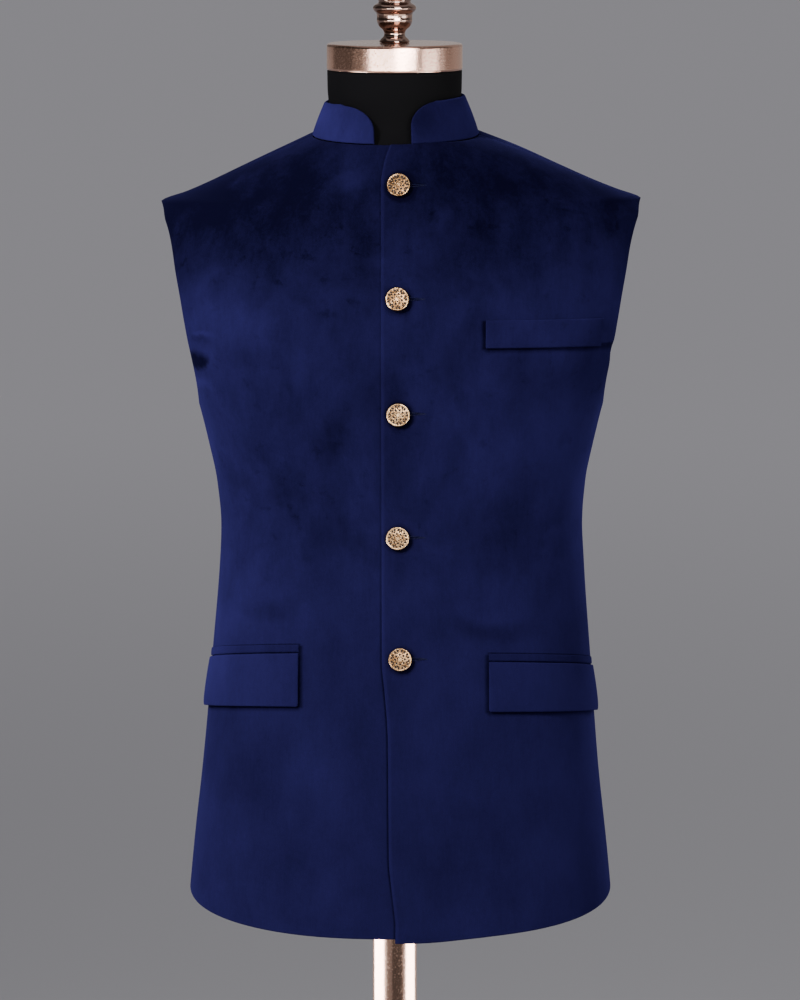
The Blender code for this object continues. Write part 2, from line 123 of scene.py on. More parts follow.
# Creases: a bearing is in degrees round the body, 0 at the front and 90 at the wearer's left
BEARING_RADIUS = 0.170
CREASE_NAMES = ("bearing_1", "height_1", "bearing_2", "height_2", "width", "depth")
CREASES = (
    (-72.0, 1.296, -62.0, 1.290, 0.0045, 0.0010),
    (-68.0, 1.268, -56.0, 1.276, 0.0080, 0.0008),
    (-78.0, 1.214, -66.0, 1.198, 0.0100, 0.0008),
    (-70.0, 1.165, -50.0, 1.150, 0.0120, 0.0009),
    (-80.0, 1.128, -64.0, 1.136, 0.0090, 0.0009),
    (-76.0, 1.096, -58.0, 1.082, 0.0110, 0.0010),
    (-64.0, 1.046, -54.0, 1.036, 0.0050, 0.0012),
    (-70.0, 1.058, -64.0, 1.040, 0.0045, 0.0010),
    (-50.0, 1.037, -44.0, 1.031, 0.0045, 0.0010),
    (-34.0, 1.300, -28.0, 1.296, 0.0060, 0.0007),
    (78.0, 1.292, 66.0, 1.280, 0.0070, 0.0014),
    (82.0, 1.222, 62.0, 1.206, 0.0100, 0.0012),
    (84.0, 1.140, 60.0, 1.128, 0.0100, 0.0013),
    (80.0, 1.104, 62.0, 1.096, 0.0090, 0.0011),
    (52.0, 1.150, 36.0, 1.138, 0.0120, 0.0008),
    (40.0, 1.052, 30.0, 1.046, 0.0070, 0.0007),
    (-100.0, 1.210, -112.0, 1.188, 0.0100, 0.0016),
    (-98.0, 1.138, -124.0, 1.122, 0.0110, 0.0018),
    (-104.0, 1.098, -138.0, 1.104, 0.0120, 0.0017),
    (-128.0, 1.150, -160.0, 1.136, 0.0140, 0.0015),
    (-118.0, 1.262, -136.0, 1.238, 0.0120, 0.0014),
    (-108.0, 1.300, -124.0, 1.286, 0.0080, 0.0013),
    (99.0, 1.206, 114.0, 1.190, 0.0100, 0.0015),
    (98.0, 1.142, 122.0, 1.130, 0.0110, 0.0018),
    (106.0, 1.104, 134.0, 1.092, 0.0120, 0.0016),
    (130.0, 1.134, 158.0, 1.146, 0.0140, 0.0014),
    (116.0, 1.266, 138.0, 1.244, 0.0120, 0.0014),
    (106.0, 1.306, 120.0, 1.296, 0.0080, 0.0012),
    (164.0, 1.108, 196.0, 1.112, 0.0150, 0.0016),
    (170.0, 1.436, 190.0, 1.434, 0.0120, 0.0010),
    (-150.0, 0.985, -146.0, 0.800, 0.0200, 0.0012),
    (152.0, 0.960, 156.0, 0.800, 0.0200, 0.0012),
    (178.0, 0.930, 176.0, 0.790, 0.0220, 0.0010),
    (-104.0, 0.930, -100.0, 0.800, 0.0180, 0.0011),
    (102.0, 0.940, 106.0, 0.800, 0.0180, 0.0011),
)
CREASE_BROAD = 1.15
CREASE_TAPER = 0.6
CREASE_BROADEST = 0.8
CREASE_LEAST = 0.3
WAVE_NAMES = ("around", "up", "phase", "height")
WAVES = (
    (3.0, 17.0, 0.4, 0.00030),
    (5.0, -13.0, 1.9, 0.00028),
    (8.0, 9.0, 4.1, 0.00020),
    (11.0, 33.0, 2.7, 0.00012),
)
STILL_BELOW_NECK = 0.030
ROOM_USED = 0.6

# Where the velvet is painted lighter or darker, partly the pile's own tone and partly painted light and shade
# (darker shoulders and upper chest where less light falls, lighter sides, a lit and a shaded end of the
# collar, a painted shadow below the breast welt, painted light on the pocket trims): the middle, the reach
# across and up, the even part and the gain
TONE_NAMES = ("x", "z", "across", "up", "core", "gain")
BODY_TONE_AND_PAINTED_LIGHT = (
    (0.000, 1.560, 3.000, 0.250, 0.35, -0.40),
    (-0.230, 1.430, 0.110, 0.100, 0.25, -0.30),
    (-0.150, 1.360, 0.060, 0.050, 0.00, -0.12),
    (0.230, 1.430, 0.110, 0.090, 0.25, -0.22),
    (-0.225, 1.170, 0.110, 0.280, 0.00, 0.24),
    (-0.075, 1.230, 0.150, 0.330, 0.20, -0.13),
    (-0.150, 1.318, 0.050, 0.030, 0.00, 0.08),
    (-0.140, 1.045, 0.060, 0.070, 0.00, 0.08),
    (-0.035, 1.165, 0.035, 0.060, 0.00, 0.16),
    (0.045, 1.400, 0.040, 0.050, 0.00, 0.08),
    (-0.140, 1.290, 0.045, 0.014, 0.20, -0.10),
    (0.115, 1.200, 0.110, 0.130, 0.00, 0.20),
    (0.100, 1.140, 0.050, 0.060, 0.10, -0.22),
    (0.095, 1.385, 0.075, 0.060, 0.00, -0.16),
    (0.165, 0.880, 0.070, 0.200, 0.00, 0.10),
    (-0.150, 0.870, 0.100, 0.160, 0.00, -0.11),
    (0.160, 1.180, 0.048, 0.200, 0.10, 0.33),
    (0.205, 1.350, 0.038, 0.085, 0.10, 0.22),
    (-0.195, 1.400, 0.032, 0.035, 0.00, 0.10),
    (0.235, 1.080, 0.100, 0.420, 0.00, 0.36),
    (0.150, 1.270, 0.080, 0.036, 0.10, -0.18),
    (0.066, 1.310, 0.030, 0.035, 0.00, -0.08),
    (-0.012, 1.250, 0.030, 0.075, 0.00, -0.14),
    (-0.060, 1.220, 0.024, 0.050, 0.10, -0.11),
    (-0.122, 1.062, 0.034, 0.020, 0.10, -0.20),
    (0.092, 1.040, 0.055, 0.017, 0.20, -0.18),
    (-0.045, 1.455, 0.026, 0.024, 0.00, 0.22),
)
# More painted light and shade on the fronts, over the pile's own tone
FRONT_TONE_AND_PAINTED_LIGHT = (
    (-0.1900, 1.2830, 0.0155, 0.0120, 0.35, -0.62),
    (-0.1800, 1.3040, 0.0130, 0.0035, 0.20, 0.20),
    (-0.1840, 1.3000, 0.0120, 0.0030, 0.00, -0.20),
    (-0.1850, 1.2600, 0.0160, 0.0120, 0.10, 0.24),
)
# The collar: one end painted lighter as if lit and the middle painted darker as if shaded, over the pile's
# own tone
COLLAR_TONE_AND_PAINTED_LIGHT = (
    (-0.070, 1.500, 0.034, 0.034, 0.00, 0.40),
    (-0.040, 1.496, 0.022, 0.022, 0.00, 0.06),
    (0.018, 1.500, 0.028, 0.028, 0.00, -0.18),
    (0.066, 1.505, 0.030, 0.030, 0.00, 0.20),
)
# Pocket trims: painted light over the pile's own tone
TRIM_TONE_AND_PAINTED_LIGHT = (
    (-0.185, 0.995, 0.095, 0.080, 0.00, 0.26),
    (0.140, 1.308, 0.090, 0.040, 0.00, 0.06),
    (0.180, 0.980, 0.120, 0.080, 0.00, 0.20),
)
VELVETS = {
    "front": (0.50, BODY_TONE_AND_PAINTED_LIGHT + FRONT_TONE_AND_PAINTED_LIGHT),
    "back": (0.50, BODY_TONE_AND_PAINTED_LIGHT),
    "collar": (0.50, COLLAR_TONE_AND_PAINTED_LIGHT),
    "trim": (0.52, TRIM_TONE_AND_PAINTED_LIGHT),
    "jet": (0.36, TRIM_TONE_AND_PAINTED_LIGHT),
}
BEND_ACROSS = 0.03
BEND_UP = 0.05
RUFFLE_ACROSS = 0.018
RUFFLE_UP = -0.014
CLOUD_GAIN = 0.70
PATCH_GAIN = 0.26
PATCH_GAIN_ABOVE = 0.34
PATCHES_ABOVE = (0.96, 1.12)
NAP_GAIN = 0.14
STREAK_GAIN = 0.12
FIBRE_GAIN = 0.34
BRUSHED_GAIN = 0.14
BRUSHED_FROM = (0.58, 0.72)
BRUSHED_LOW = (1.05, 1.15)
BRUSHED_HIGH = (1.42, 1.48)
# Strength of the painted shadows on the fronts (under the lapping edge, round the pocket trims, round the
# buttons, in the buttonhole slits) and of the painted highlight along the lapping edge
LAP_SHADE = 0.38
LAP_SHADE_ABOVE = 0.06
LAP_ABOVE = (0.95, 1.20)
LAP_HIGHLIGHT = 0.12
TRIM_SHADE = 0.42
BUTTON_SHADE = 0.38
HOLE_SHADE = 0.36

# Painted shadows and a painted highlight on the fronts: distances over which a mark comes up or fades, and
# the reach and even part of the ovals
LAP_FADE = (0.0004, 0.0028)
LAP_START = (-0.0004, 0.0004)
HIGHLIGHT_START = (-0.0036, -0.0020)
HIGHLIGHT_END = (-0.0008, 0.0)
UNDER_FADE = (0.0005, 0.0060)
UNDER_START = (-0.004, -0.002)
INNER_START = (-0.003, 0.001)
BESIDE_START = (-0.0052, -0.0010)
BESIDE_END = (0.001, 0.002)
BESIDE_LOW = (0.0, 0.003)
BESIDE_HIGH = (-0.001, 0.001)
SLIT_FADE = (0.0009, 0.0022)
JET_SHADE_RISE = 0.0004
BUTTON_SHADOW_SHIFT = (0.0014, -0.0016)
BUTTON_SHADOW_REACH = (0.0168, 0.0162)
BUTTON_SHADOW_CORE = 0.58
HOLE_SHADE_REACH = 0.0024
HOLE_SHADE_CORE = 0.20

# Noise that the materials are made from: scale, detail, roughness, and its scale up the cloth as a share
GRAINS = {
    "bend": (11.0, 2.0, 0.50, 1.00),
    "ruffle": (48.0, 3.0, 0.60, 1.00),
    "clouds": (9.0, 3.0, 0.55, 0.80),
    "patches": (34.0, 4.0, 0.62, 0.60),
    "brushed": (62.0, 4.0, 0.65, 1.30),
    "nap": (260.0, 3.0, 0.60, 1.00),
    "streaks": (460.0, 2.0, 0.60, 0.10),
    "fibres": (1300.0, 2.0, 0.60, 1.00),
    "twist": (2600.0, 2.0, 0.60, 1.00),
    "mottle": (24.0, 3.0, 0.50, 1.00),
    "wear": (700.0, 3.0, 0.60, 1.00),
    "casting": (2400.0, 2.0, 0.60, 1.00),
    "tarnish": (150.0, 2.0, 0.50, 1.00),
    "speckle": (520.0, 3.0, 0.65, 1.00),
    "smear": (22.0, 3.0, 0.50, 0.50),
}

# Band collar, with ends as distances from the middle of the neck
COLLAR_HEIGHT = 0.0335
COLLAR_TOP = {"half_width": 0.0652, "front": 0.0680, "back": 0.0660}
COLLAR_BASE_TILT = (-0.004, 0.010)
COLLAR_TOP_TILT = (-0.002, 0.008)
COLLAR_RIGHT_END = {"start": -0.0197, "reach": 0.030, "round_from": 0.35}
COLLAR_LEFT_END = {"start": 0.0148, "reach": 0.024, "round_from": 0.45}
COLLAR_ROWS = 26
COLLAR_COLUMNS = 130
COLLAR_FINE = 700
COLLAR_BOW = 0.0006
COLLAR_NORMAL_RISE = 0.5
COLLAR_LEAN = 0.045
NECK_X = -0.005

# Pockets: distances along the cloth from the front's middle line, and heights at the inner and outer end
JET_WALL = 0.0008
SLIT = 0.0006
FLAP_WALL = 0.0020
FLAP_LIFTS = (0.0012, 0.0009, 0.0006, 0.0003)
FLAP_FLARE = 0.0028
FLAP_CROWN = 0.0005
JET_CROWN = 0.0002
PATCH_FINE = 40
JET_MESH = (40, 8)
FLAP_MESH = (44, 22)
WELT_MESH = (40, 14)
POCKET_NAMES = ("side", "inner", "outer", "jet_top_in", "jet_top_out", "flap_top_in", "flap_top_out",
                "flap_low_in", "flap_low_out", "corner_in", "corner_out")
POCKETS = {
    "right": (-1, 0.0945, 0.2320, 1.0228, 1.0015, 1.0154, 0.9935, 0.9655, 0.9475, 0.0022, 0.0120),
    "left": (1, 0.0825, 0.2320, 1.0152, 0.9935, 1.0080, 0.9862, 0.9612, 0.9433, 0.0022, 0.0110),
}
WELT_WALL = 0.0022
WELT_LIFTS = (0.0003, 0.0004, 0.0006)
WELT = {
    "inner": 0.0782, "outer": 0.1962,
    "low_in": 1.2990, "low_out": 1.2955,
    "top_in": 1.3242, "top_out": 1.3212,
}
WELT_CORNER = 0.0010

# Buttons and buttonholes
SPOT_NAMES = ("x", "height", "turn", "tarnish")
# The tarnish column dulls each button's brass: partly its own tarnish, partly painted shade that evens out
# the brighter reflections of the upper buttons
BUTTON_SPOTS = (
    (-0.0014, 1.4463, 12.0, 0.74),
    (-0.0027, 1.3444, 51.0, 0.74),
    (-0.0018, 1.2397, 5.0, 0.36),
    (-0.0023, 1.1243, 28.0, 0.25),
    (0.0000, 1.0117, 70.0, 0.52),
)
BUTTON_PROFILE = (
    (0.0000, 0.00535), (0.0030, 0.00528), (0.0060, 0.00500), (0.0084, 0.00455),
    (0.0090, 0.00450), (0.0093, 0.00482), (0.0098, 0.00502), (0.0103, 0.00478),
    (0.0106, 0.00420), (0.0105, 0.00340), (0.0100, 0.00260), (0.0092, 0.00215),
    (0.0030, 0.00180), (0.0026, 0.00040), (0.0000, 0.00040),
)
BUTTON_STEPS = 168
BUTTON_FACE_STEP = 0.00019
BUTTON_FACE_END = 4
BUTTON_RIM_STEP = 0.0003
# Brighter brass at each button's middle and rim: rubbed high parts and a painted highlight
POLISH_AND_HIGHLIGHT = 0.45
POLISHED_AND_HIGHLIGHT_MIDDLE = (0.0011, 0.0021)
POLISHED_AND_HIGHLIGHT_RIM = (0.0091, 0.0097)
# The recesses stand for pierced holes; their near-black colour is painted shade
RECESS_NAMES = ("count", "ring", "turn", "radius")
RECESSES = (
    (8, 0.0079, -9.5, 0.00103),
    (8, 0.0079, 9.5, 0.00103),
    (8, 0.0064, 0.0, 0.00068),
    (8, 0.0046, 22.5, 0.00095),
    (8, 0.0025, 0.0, 0.00054),
)
RECESS_DEPTH = 0.00055
RECESS_EDGE = (0.70, 1.20)
TARNISHED = (0.30, 0.24, 0.19)
HOLE_START = 0.0060
HOLE_LENGTH = 0.0192
HOLE_HALF_WIDTH = 0.0011
HOLE_POINTS = 48
HOLE_BLUNT = 1.6
HOLE_LIFT = 0.00012
SIDE_STEP = 0.004
STITCHES = {"Length": 0.0011, "Thickness": 0.0005, "Unevenness": 0.14, "Seed": 7}

# Dress form and stand
FORM_LOW = 0.8050
FORM_HIGH = 1.4780
FORM_ROWS = 90
FORM_COLUMNS = 144
CLEAR_NAMES = ("height", "gap")
FORM_CLEARANCE = (
    (0.8050, 0.0100), (0.9600, 0.0080), (1.1200, 0.0060), (1.3000, 0.0038),
    (1.4100, 0.0018), (1.4854, 0.0014),
)
ARM_PLATE = {"low": 1.2320, "high": 1.4200, "x_low": 0.1790, "x_high": 0.2130, "end": 1.2}
RING_NAMES = ("height", "radius")
NECK_RINGS = (
    (1.4860, 0.0665), (1.4940, 0.0625), (1.5040, 0.0614), (1.5170, 0.0616),
    (1.5270, 0.0624), (1.5450, 0.0627),
)
NECK_ROWS = 22
CAP_PROFILE = (
    (0.0000, 1.5705), (0.0560, 1.5705), (0.0606, 1.5703), (0.0622, 1.5698),
    (0.0630, 1.5690), (0.0632, 1.5680), (0.0632, 1.5480), (0.0631, 1.5466),
    (0.0626, 1.5458), (0.0616, 1.5455), (0.0000, 1.5455),
)
FINIAL_LOW = 1.5708
FINIAL_STEP = 0.0008
FINIAL_PROFILE = (
    (0.0000, 0.0800), (0.0045, 0.0788), (0.0078, 0.0745), (0.0078, 0.0690),
    (0.0050, 0.0650), (0.0070, 0.0615), (0.0130, 0.0560), (0.0165, 0.0480),
    (0.0160, 0.0405), (0.0150, 0.0375), (0.0192, 0.0345), (0.0202, 0.0318),
    (0.0190, 0.0292), (0.0170, 0.0272), (0.0166, 0.0235), (0.0165, 0.0195),
    (0.0145, 0.0150), (0.0105, 0.0110), (0.0100, 0.0065), (0.0130, 0.0032),
    (0.0133, 0.0000), (0.0000, 0.0000),
)
POLE_PROFILE = (
    (0.0000, 0.8030), (0.0204, 0.8030), (0.0212, 0.8022), (0.0212, 0.0172),
    (0.0208, 0.0163), (0.0000, 0.0163),
)
BASE_PROFILE = (
    (0.0000, 0.0160), (0.0290, 0.0160), (0.0318, 0.0152), (0.0340, 0.0130),
    (0.0364, 0.0112), (0.0420, 0.0107), (0.1860, 0.0080), (0.1888, 0.0073),
    (0.1900, 0.0055), (0.1900, 0.0006), (0.1894, 0.0000), (0.0000, 0.0000),
)
# The finial's plating is a darker copy: painted shade for the darker room that it reflects
COPPERS = {
    "rose_copper_plate": ((1.0, 1.0, 1.0), 0.0),
    "rose_copper_dark": ((0.62, 0.66, 0.70), 0.5),
}
TURN_STEPS = 160
STEADY = 0.0005
LONG_RUN = 8 * STEADY

# Studio: softboxes, and cards at bearings in degrees round the stand, 0 in front and 90 at the wearer's left
SOFTBOX_NAMES = ("name", "place", "target", "width", "tall", "watts", "spread")
SOFTBOXES = (
    ("key_softbox", (-2.0, -2.7, 3.20), (0.0, 0.0, 1.20), 0.6, 0.6, 15.0, 60.0),
    ("front_softbox", (0.3, -3.8, 1.50), (0.0, 0.0, 1.20), 2.0, 1.4, 3.6, 60.0),
    ("left_softbox", (-2.6, 0.2, 1.50), (0.0, 0.0, 1.15), 0.8, 1.4, 4.0, 60.0),
    ("right_softbox", (2.6, 0.6, 1.50), (0.0, 0.0, 1.15), 0.8, 1.4, 2.0, 60.0),
    ("back_left_softbox", (-2.0, 3.0, 2.0), (0.0, 0.0, 1.20), 1.4, 1.4, 8.0, 70.0),
    ("back_right_softbox", (2.2, 2.8, 2.0), (0.0, 0.0, 1.20), 1.4, 1.4, 7.0, 70.0),
)
CARD_RADIUS = 1.25
CARD_POINTS = 17
CARD_NAMES = ("from", "to", "low", "high", "glow", "colour")
CARDS = (
    (-128.0, -58.0, 0.02, 0.64, 20.0, (1.0, 1.0, 1.0)),
    (-58.0, -44.0, 0.02, 0.64, 1.3, (1.0, 0.98, 0.97)),
    (-44.0, -14.0, 0.02, 0.64, 0.26, (1.0, 1.0, 1.0)),
    (-14.0, 42.0, 0.02, 0.64, 0.085, (1.0, 1.0, 1.0)),
    (42.0, 60.0, 0.02, 0.64, 0.60, (1.0, 0.98, 0.97)),
    (60.0, 124.0, 0.02, 0.64, 18.0, (1.0, 1.0, 1.0)),
    (124.0, 150.0, 0.02, 0.64, 0.5, (1.0, 1.0, 1.0)),
    (-75.0, -3.0, 0.66, 1.40, 0.84, (1.0, 0.95, 0.88)),
    (-3.0, 75.0, 0.66, 1.40, 1.75, (1.0, 0.97, 0.93)),
    (-180.0, -125.0, 1.40, 1.515, 0.34, (1.0, 0.92, 0.88)),
    (-125.0, -72.0, 1.40, 1.515, 0.12, (1.0, 0.92, 0.88)),
    (-72.0, -54.0, 1.40, 1.515, 0.26, (1.0, 0.95, 0.92)),
    (-54.0, -42.0, 1.40, 1.515, 0.90, (1.0, 0.98, 0.97)),
    (-42.0, 20.0, 1.40, 1.515, 14.0, (1.0, 1.0, 1.0)),
    (20.0, 29.0, 1.40, 1.515, 1.0, (1.0, 0.98, 0.97)),
    (29.0, 48.0, 1.40, 1.515, 0.48, (1.0, 0.95, 0.92)),
    (48.0, 77.0, 1.40, 1.515, 5.0, (1.0, 1.0, 1.0)),
    (77.0, 92.0, 1.40, 1.515, 1.0, (1.0, 0.98, 0.97)),
    (92.0, 180.0, 1.40, 1.515, 0.38, (1.0, 0.92, 0.88)),
    (2.0, 34.0, 1.515, 1.75, 34.0, (1.0, 1.0, 1.0)),
    (2.0, 34.0, 1.75, 3.00, 4.0, (1.0, 0.98, 0.95)),
    (34.0, 60.0, 1.515, 3.00, 0.06, (1.0, 0.95, 0.92)),
    (60.0, 112.0, 1.515, 3.00, 0.12, (1.0, 0.95, 0.92)),
    (112.0, 162.0, 1.515, 3.00, 0.28, (1.0, 0.98, 0.97)),
    (162.0, 198.0, 1.515, 1.95, 0.42, (1.0, 1.0, 1.0)),
    (-162.0, -124.0, 1.515, 3.00, 0.12, (1.0, 0.98, 0.97)),
    (-124.0, 2.0, 1.515, 3.00, 0.04, (1.0, 0.95, 0.92)),
)
FLOOR_REACH = 90.0
FLOOR_DROP = 0.0004
# Floor painted darker near the stand, fading out between these distances: painted shade that evens out the
# softboxes' pool of light
FLOOR_SHADE_FADE = (1.0, 9.0)
AIR_COLOUR = (0.98, 0.97, 1.0, 1.0)
SENSOR = 36.0
VIEW_END = 300.0


# Numbers that both the cloth and the form are made from

def read_column(table, names, name, height):
    """One column of a table at any height, with slopes that never overshoot the rows."""
    rows = np.array(table, dtype=float)
    heights = rows[:, 0]
    values = rows[:, names.index(name)]
    steps = np.diff(heights)
    rises = np.diff(values) / steps
    slopes = np.zeros(len(values))
    same_way = rises[:-1] * rises[1:] > 0
    paired = np.where(same_way, rises[:-1] + rises[1:], 1.0)
    slopes[1:-1] = np.where(same_way, 2 * rises[:-1] * rises[1:] / paired, 0.0)
    slopes[0] = rises[0]
    slopes[-1] = rises[-1]
    where = np.clip(np.asarray(height, dtype=float), heights[0], heights[-1])
    low = np.clip(np.searchsorted(heights, where, side="right") - 1, 0, len(steps) - 1)
    t = (where - heights[low]) / steps[low]
    return (
        values[low] * (1 + 2 * t) * (1 - t) ** 2
        + slopes[low] * steps[low] * t * (1 - t) ** 2
        + values[low + 1] * t ** 2 * (3 - 2 * t)
        - slopes[low + 1] * steps[low] * t ** 2 * (1 - t)
    )


def measure(name, height):
    return read_column(SECTIONS, SECTION_NAMES, name, height)


def ease(t):
    t = np.clip(t, 0.0, 1.0)
    return t * t * (3 - 2 * t)


def ramp(values, low, high):
    """0 below low, 1 above high, and smooth from one to the other."""
    return ease((values - low) / (high - low))


def body_points(height, angles):
    """Points of the smooth body surface: angle 0 is the wearer's left side and -pi/2 the front."""
    power = 2.0 / measure("roundness", height)
    across = np.cos(angles)
    along = np.sin(angles)
    is_front = along < 0
    depth = np.where(is_front, measure("front", height), measure("back", height))
    tilt = np.where(is_front, measure("front_tilt", height), measure("back_tilt", height))
    x = measure("half_width", height) * np.sign(across) * np.abs(across) ** power + measure("shift", height)
    y = depth * np.sign(along) * np.abs(along) ** power
    fall = np.where(height < UNDERARM, HEM_FALL, power)
    lean = SHOULDER_LEAN * ramp(height, UNDERARM, LEAN_FULL)
    z = height + tilt * np.abs(along) ** fall + lean * x
    return np.stack([x, y, z], axis=-1)


def unit(vectors):
    return vectors / np.linalg.norm(vectors, axis=-1, keepdims=True)


def body_normals(height, angles, turn=1e-3, rise=5e-4):
    around = body_points(height, angles + turn) - body_points(height, angles - turn)
    up = body_points(height + rise, angles) - body_points(height - rise, angles)
    return unit(np.cross(around, up))


def named_rows(table, names):
    return [dict(zip(names, row)) for row in table]


def crease_relief(bearings, heights):
    """Troughs with low ridges beside them, at distances measured round and up the cloth."""
    total = np.zeros(bearings.shape)
    for crease in named_rows(CREASES, CREASE_NAMES):
        turned = (bearings - crease["bearing_1"] + 180.0) % 360.0 - 180.0
        u = np.radians(turned) * BEARING_RADIUS
        v = heights - crease["height_1"]
        run_u = math.radians(crease["bearing_2"] - crease["bearing_1"]) * BEARING_RADIUS
        run_v = crease["height_2"] - crease["height_1"]
        length = math.hypot(run_u, run_v)
        along = np.clip((u * run_u + v * run_v) / length ** 2, 0.0, 1.0)
        off = np.hypot(u - along * run_u, v - along * run_v)
        width = crease["width"] * (CREASE_BROAD - CREASE_TAPER * (2 * along - CREASE_BROADEST) ** 2)
        s = off / np.maximum(width, CREASE_LEAST * crease["width"])
        total -= crease["depth"] * (1 - 0.5 * s ** 2) * np.exp(-0.5 * s ** 2)
    return total


def cloth_relief(points):
    """How far creases and the hang of the cloth move it out from the smooth surface."""
    bearings = np.degrees(np.arctan2(points[..., 0], -points[..., 1]))
    heights = points[..., 2]
    relief = crease_relief(bearings, heights)
    for wave in named_rows(WAVES, WAVE_NAMES):
        relief += wave["height"] * np.sin(
            wave["around"] * np.radians(bearings) + wave["up"] * heights + wave["phase"])
    relief *= ease((NECKLINE - heights) / STILL_BELOW_NECK)
    room = read_column(FORM_CLEARANCE, CLEAR_NAMES, "gap", heights)
    return np.maximum(relief, -ROOM_USED * room)


def cloth_points(height, angles):
    """Points and outward normals of the cloth as it hangs."""
    points = body_points(height, angles)
    normals = body_normals(height, angles)
    return points + cloth_relief(points)[..., None] * normals, normals


def angle_at_x(height, x):
    """The angle on the front where the surface is this far from the middle."""
    share = np.clip((x - measure("shift", height)) / measure("half_width", height), -1.0, 1.0)
    return -math.acos(np.sign(share) * abs(share) ** (measure("roundness", height) / 2))


def angle_at_depth(height, depth, column):
    share = min(depth / measure(column, height), 1.0)
    return math.asin(share ** (measure("roundness", height) / 2))


def armhole_depth(height, deepest):
    """How far the armhole edge stands in front of or behind the side line."""
    middle = (UNDERARM + SHOULDER_TIP) / 2
    t = abs(height - middle) / (SHOULDER_TIP - middle)
    return deepest * math.sqrt(max(0.0, 1 - min(t, 1.0) ** ARMHOLE_SQUARENESS))


def side_angle(height, column, deepest):
    """Where a panel ends beside the side seam, the armhole or the shoulder seam."""
    depth = max(SEAM_GAP / 2, armhole_depth(height, deepest))
    return angle_at_depth(height, depth, column)


def front_start(side, height):
    if side < 0:
        return angle_at_x(height, RIGHT_EDGE_X)
    return angle_at_x(height, float(read_column(LEFT_EDGE, EDGE_NAMES, "x", height)))


def left_lift(x):
    """The left front lies a wall and a gap outside the right one near the middle."""
    return (WALL + LIFT_GAP) * (1 - ramp(x, LIFT_FULL_X, LIFT_END_X))


# Grids of points, and the meshes made from them

def graded(length, count):
    """Distances from 0 to length, close together at both ends."""
    near = np.array(EDGE_STEPS)
    middle = np.linspace(near[-1], length - near[-1], count)[1:-1]
    return np.concatenate([near, middle, length - near[::-1]])


def panel_heights():
    """Heights of a panel's rows, closer together at the hem, round the armhole and at the neckline."""
    low = HEM + np.array(EDGE_STEPS)
    body = np.linspace(low[-1], UNDERARM, BODY_ROWS)[1:-1]
    middle = (UNDERARM + SHOULDER_TIP) / 2
    armhole = middle - (SHOULDER_TIP - middle) * np.cos(np.linspace(0.0, math.pi, ARMHOLE_ROWS))
    top = NECKLINE - np.array(EDGE_STEPS[::-1])
    shoulder = np.linspace(SHOULDER_TIP, top[0], SHOULDER_ROWS)[1:-1]
    return np.concatenate([low, body, armhole, shoulder, top])


def run_lengths(points):
    """Distances along a row of points, from the first one."""
    return np.concatenate([[0.0], np.cumsum(np.linalg.norm(np.diff(points, axis=0), axis=1))])


def row_angles(height, start, end, columns):
    """Angles at graded distances along one row, with each one's distance from the nearer end."""
    fine = np.linspace(start, end, PANEL_FINE)
    along = run_lengths(body_points(height, fine))
    wanted = graded(along[-1], columns)
    return np.interp(wanted, along, fine), np.minimum(wanted, along[-1] - wanted)


def rolled(from_edge, wall):
    """How far a face of the cloth sinks towards the middle of the wall near an edge."""
    t = ROLL_LEFT * np.clip(1 - from_edge / ROLL, 0.0, 1.0)
    return wall / 2 * (1 - np.sqrt(1 - t * t))


def front_arcs(heights, angles):
    """Distances along the cloth from the front's middle line, below 0 on the wearer's right."""
    found = []
    for height, row in zip(heights, angles):
        fine = np.linspace(-math.pi, 0.0, ARC_FINE)
        along = run_lengths(body_points(height, fine))
        found.append(np.interp(row, fine, along) - np.interp(angle_at_x(height, 0.0), fine, along))
    return np.array(found)


def panel_grid(ends, columns):
    """Points, normals, edge distances and distances from the front's middle of a panel between two angles."""
    heights = panel_heights()
    rows = [row_angles(height, *ends(height), columns) for height in heights]
    angles = np.array([row[0] for row in rows])
    from_side = np.array([row[1] for row in rows])
    level = np.broadcast_to(heights[:, None], angles.shape)
    points, normals = cloth_points(level, angles)
    from_side = np.minimum(from_side, np.minimum(level - HEM, NECKLINE - level))
    return points, normals, from_side, front_arcs(heights, angles)


def sheet_faces(rows, columns):
    """Quads of a closed sheet: an outer layer, an inner layer and the rim between them."""
    spots = np.arange(rows * columns).reshape(rows, columns)
    quads = np.stack([spots[:-1, :-1], spots[:-1, 1:], spots[1:, 1:], spots[1:, :-1]], axis=-1).reshape(-1, 4)
    inner = quads[:, ::-1] + rows * columns
    rim = np.concatenate([spots[0, :-1], spots[:-1, -1], spots[-1, :0:-1], spots[:0:-1, 0]])
    after = np.roll(rim, -1)
    far = rows * columns
    return np.concatenate([quads, inner, np.stack([after, rim, rim + far, after + far], axis=-1)])


def new_object(name, data):
    made = bpy.data.objects.new(name, data)
    bpy.context.scene.collection.objects.link(made)
    return made


def new_piece(name, points, faces, material, marks=None, smooth=True):
    """A mesh object of one material, with marks at its points that the material reads."""
    mesh = bpy.data.meshes.new(name)
    mesh.from_pydata(points.tolist(), [], faces)
    for label, values in (marks or {}).items():
        mesh.attributes.new(label, "FLOAT", "POINT").data.foreach_set("value", values)
    mesh.polygons.foreach_set("use_smooth", [smooth] * len(mesh.polygons))
    mesh.materials.append(material)
    return new_object(name, mesh)


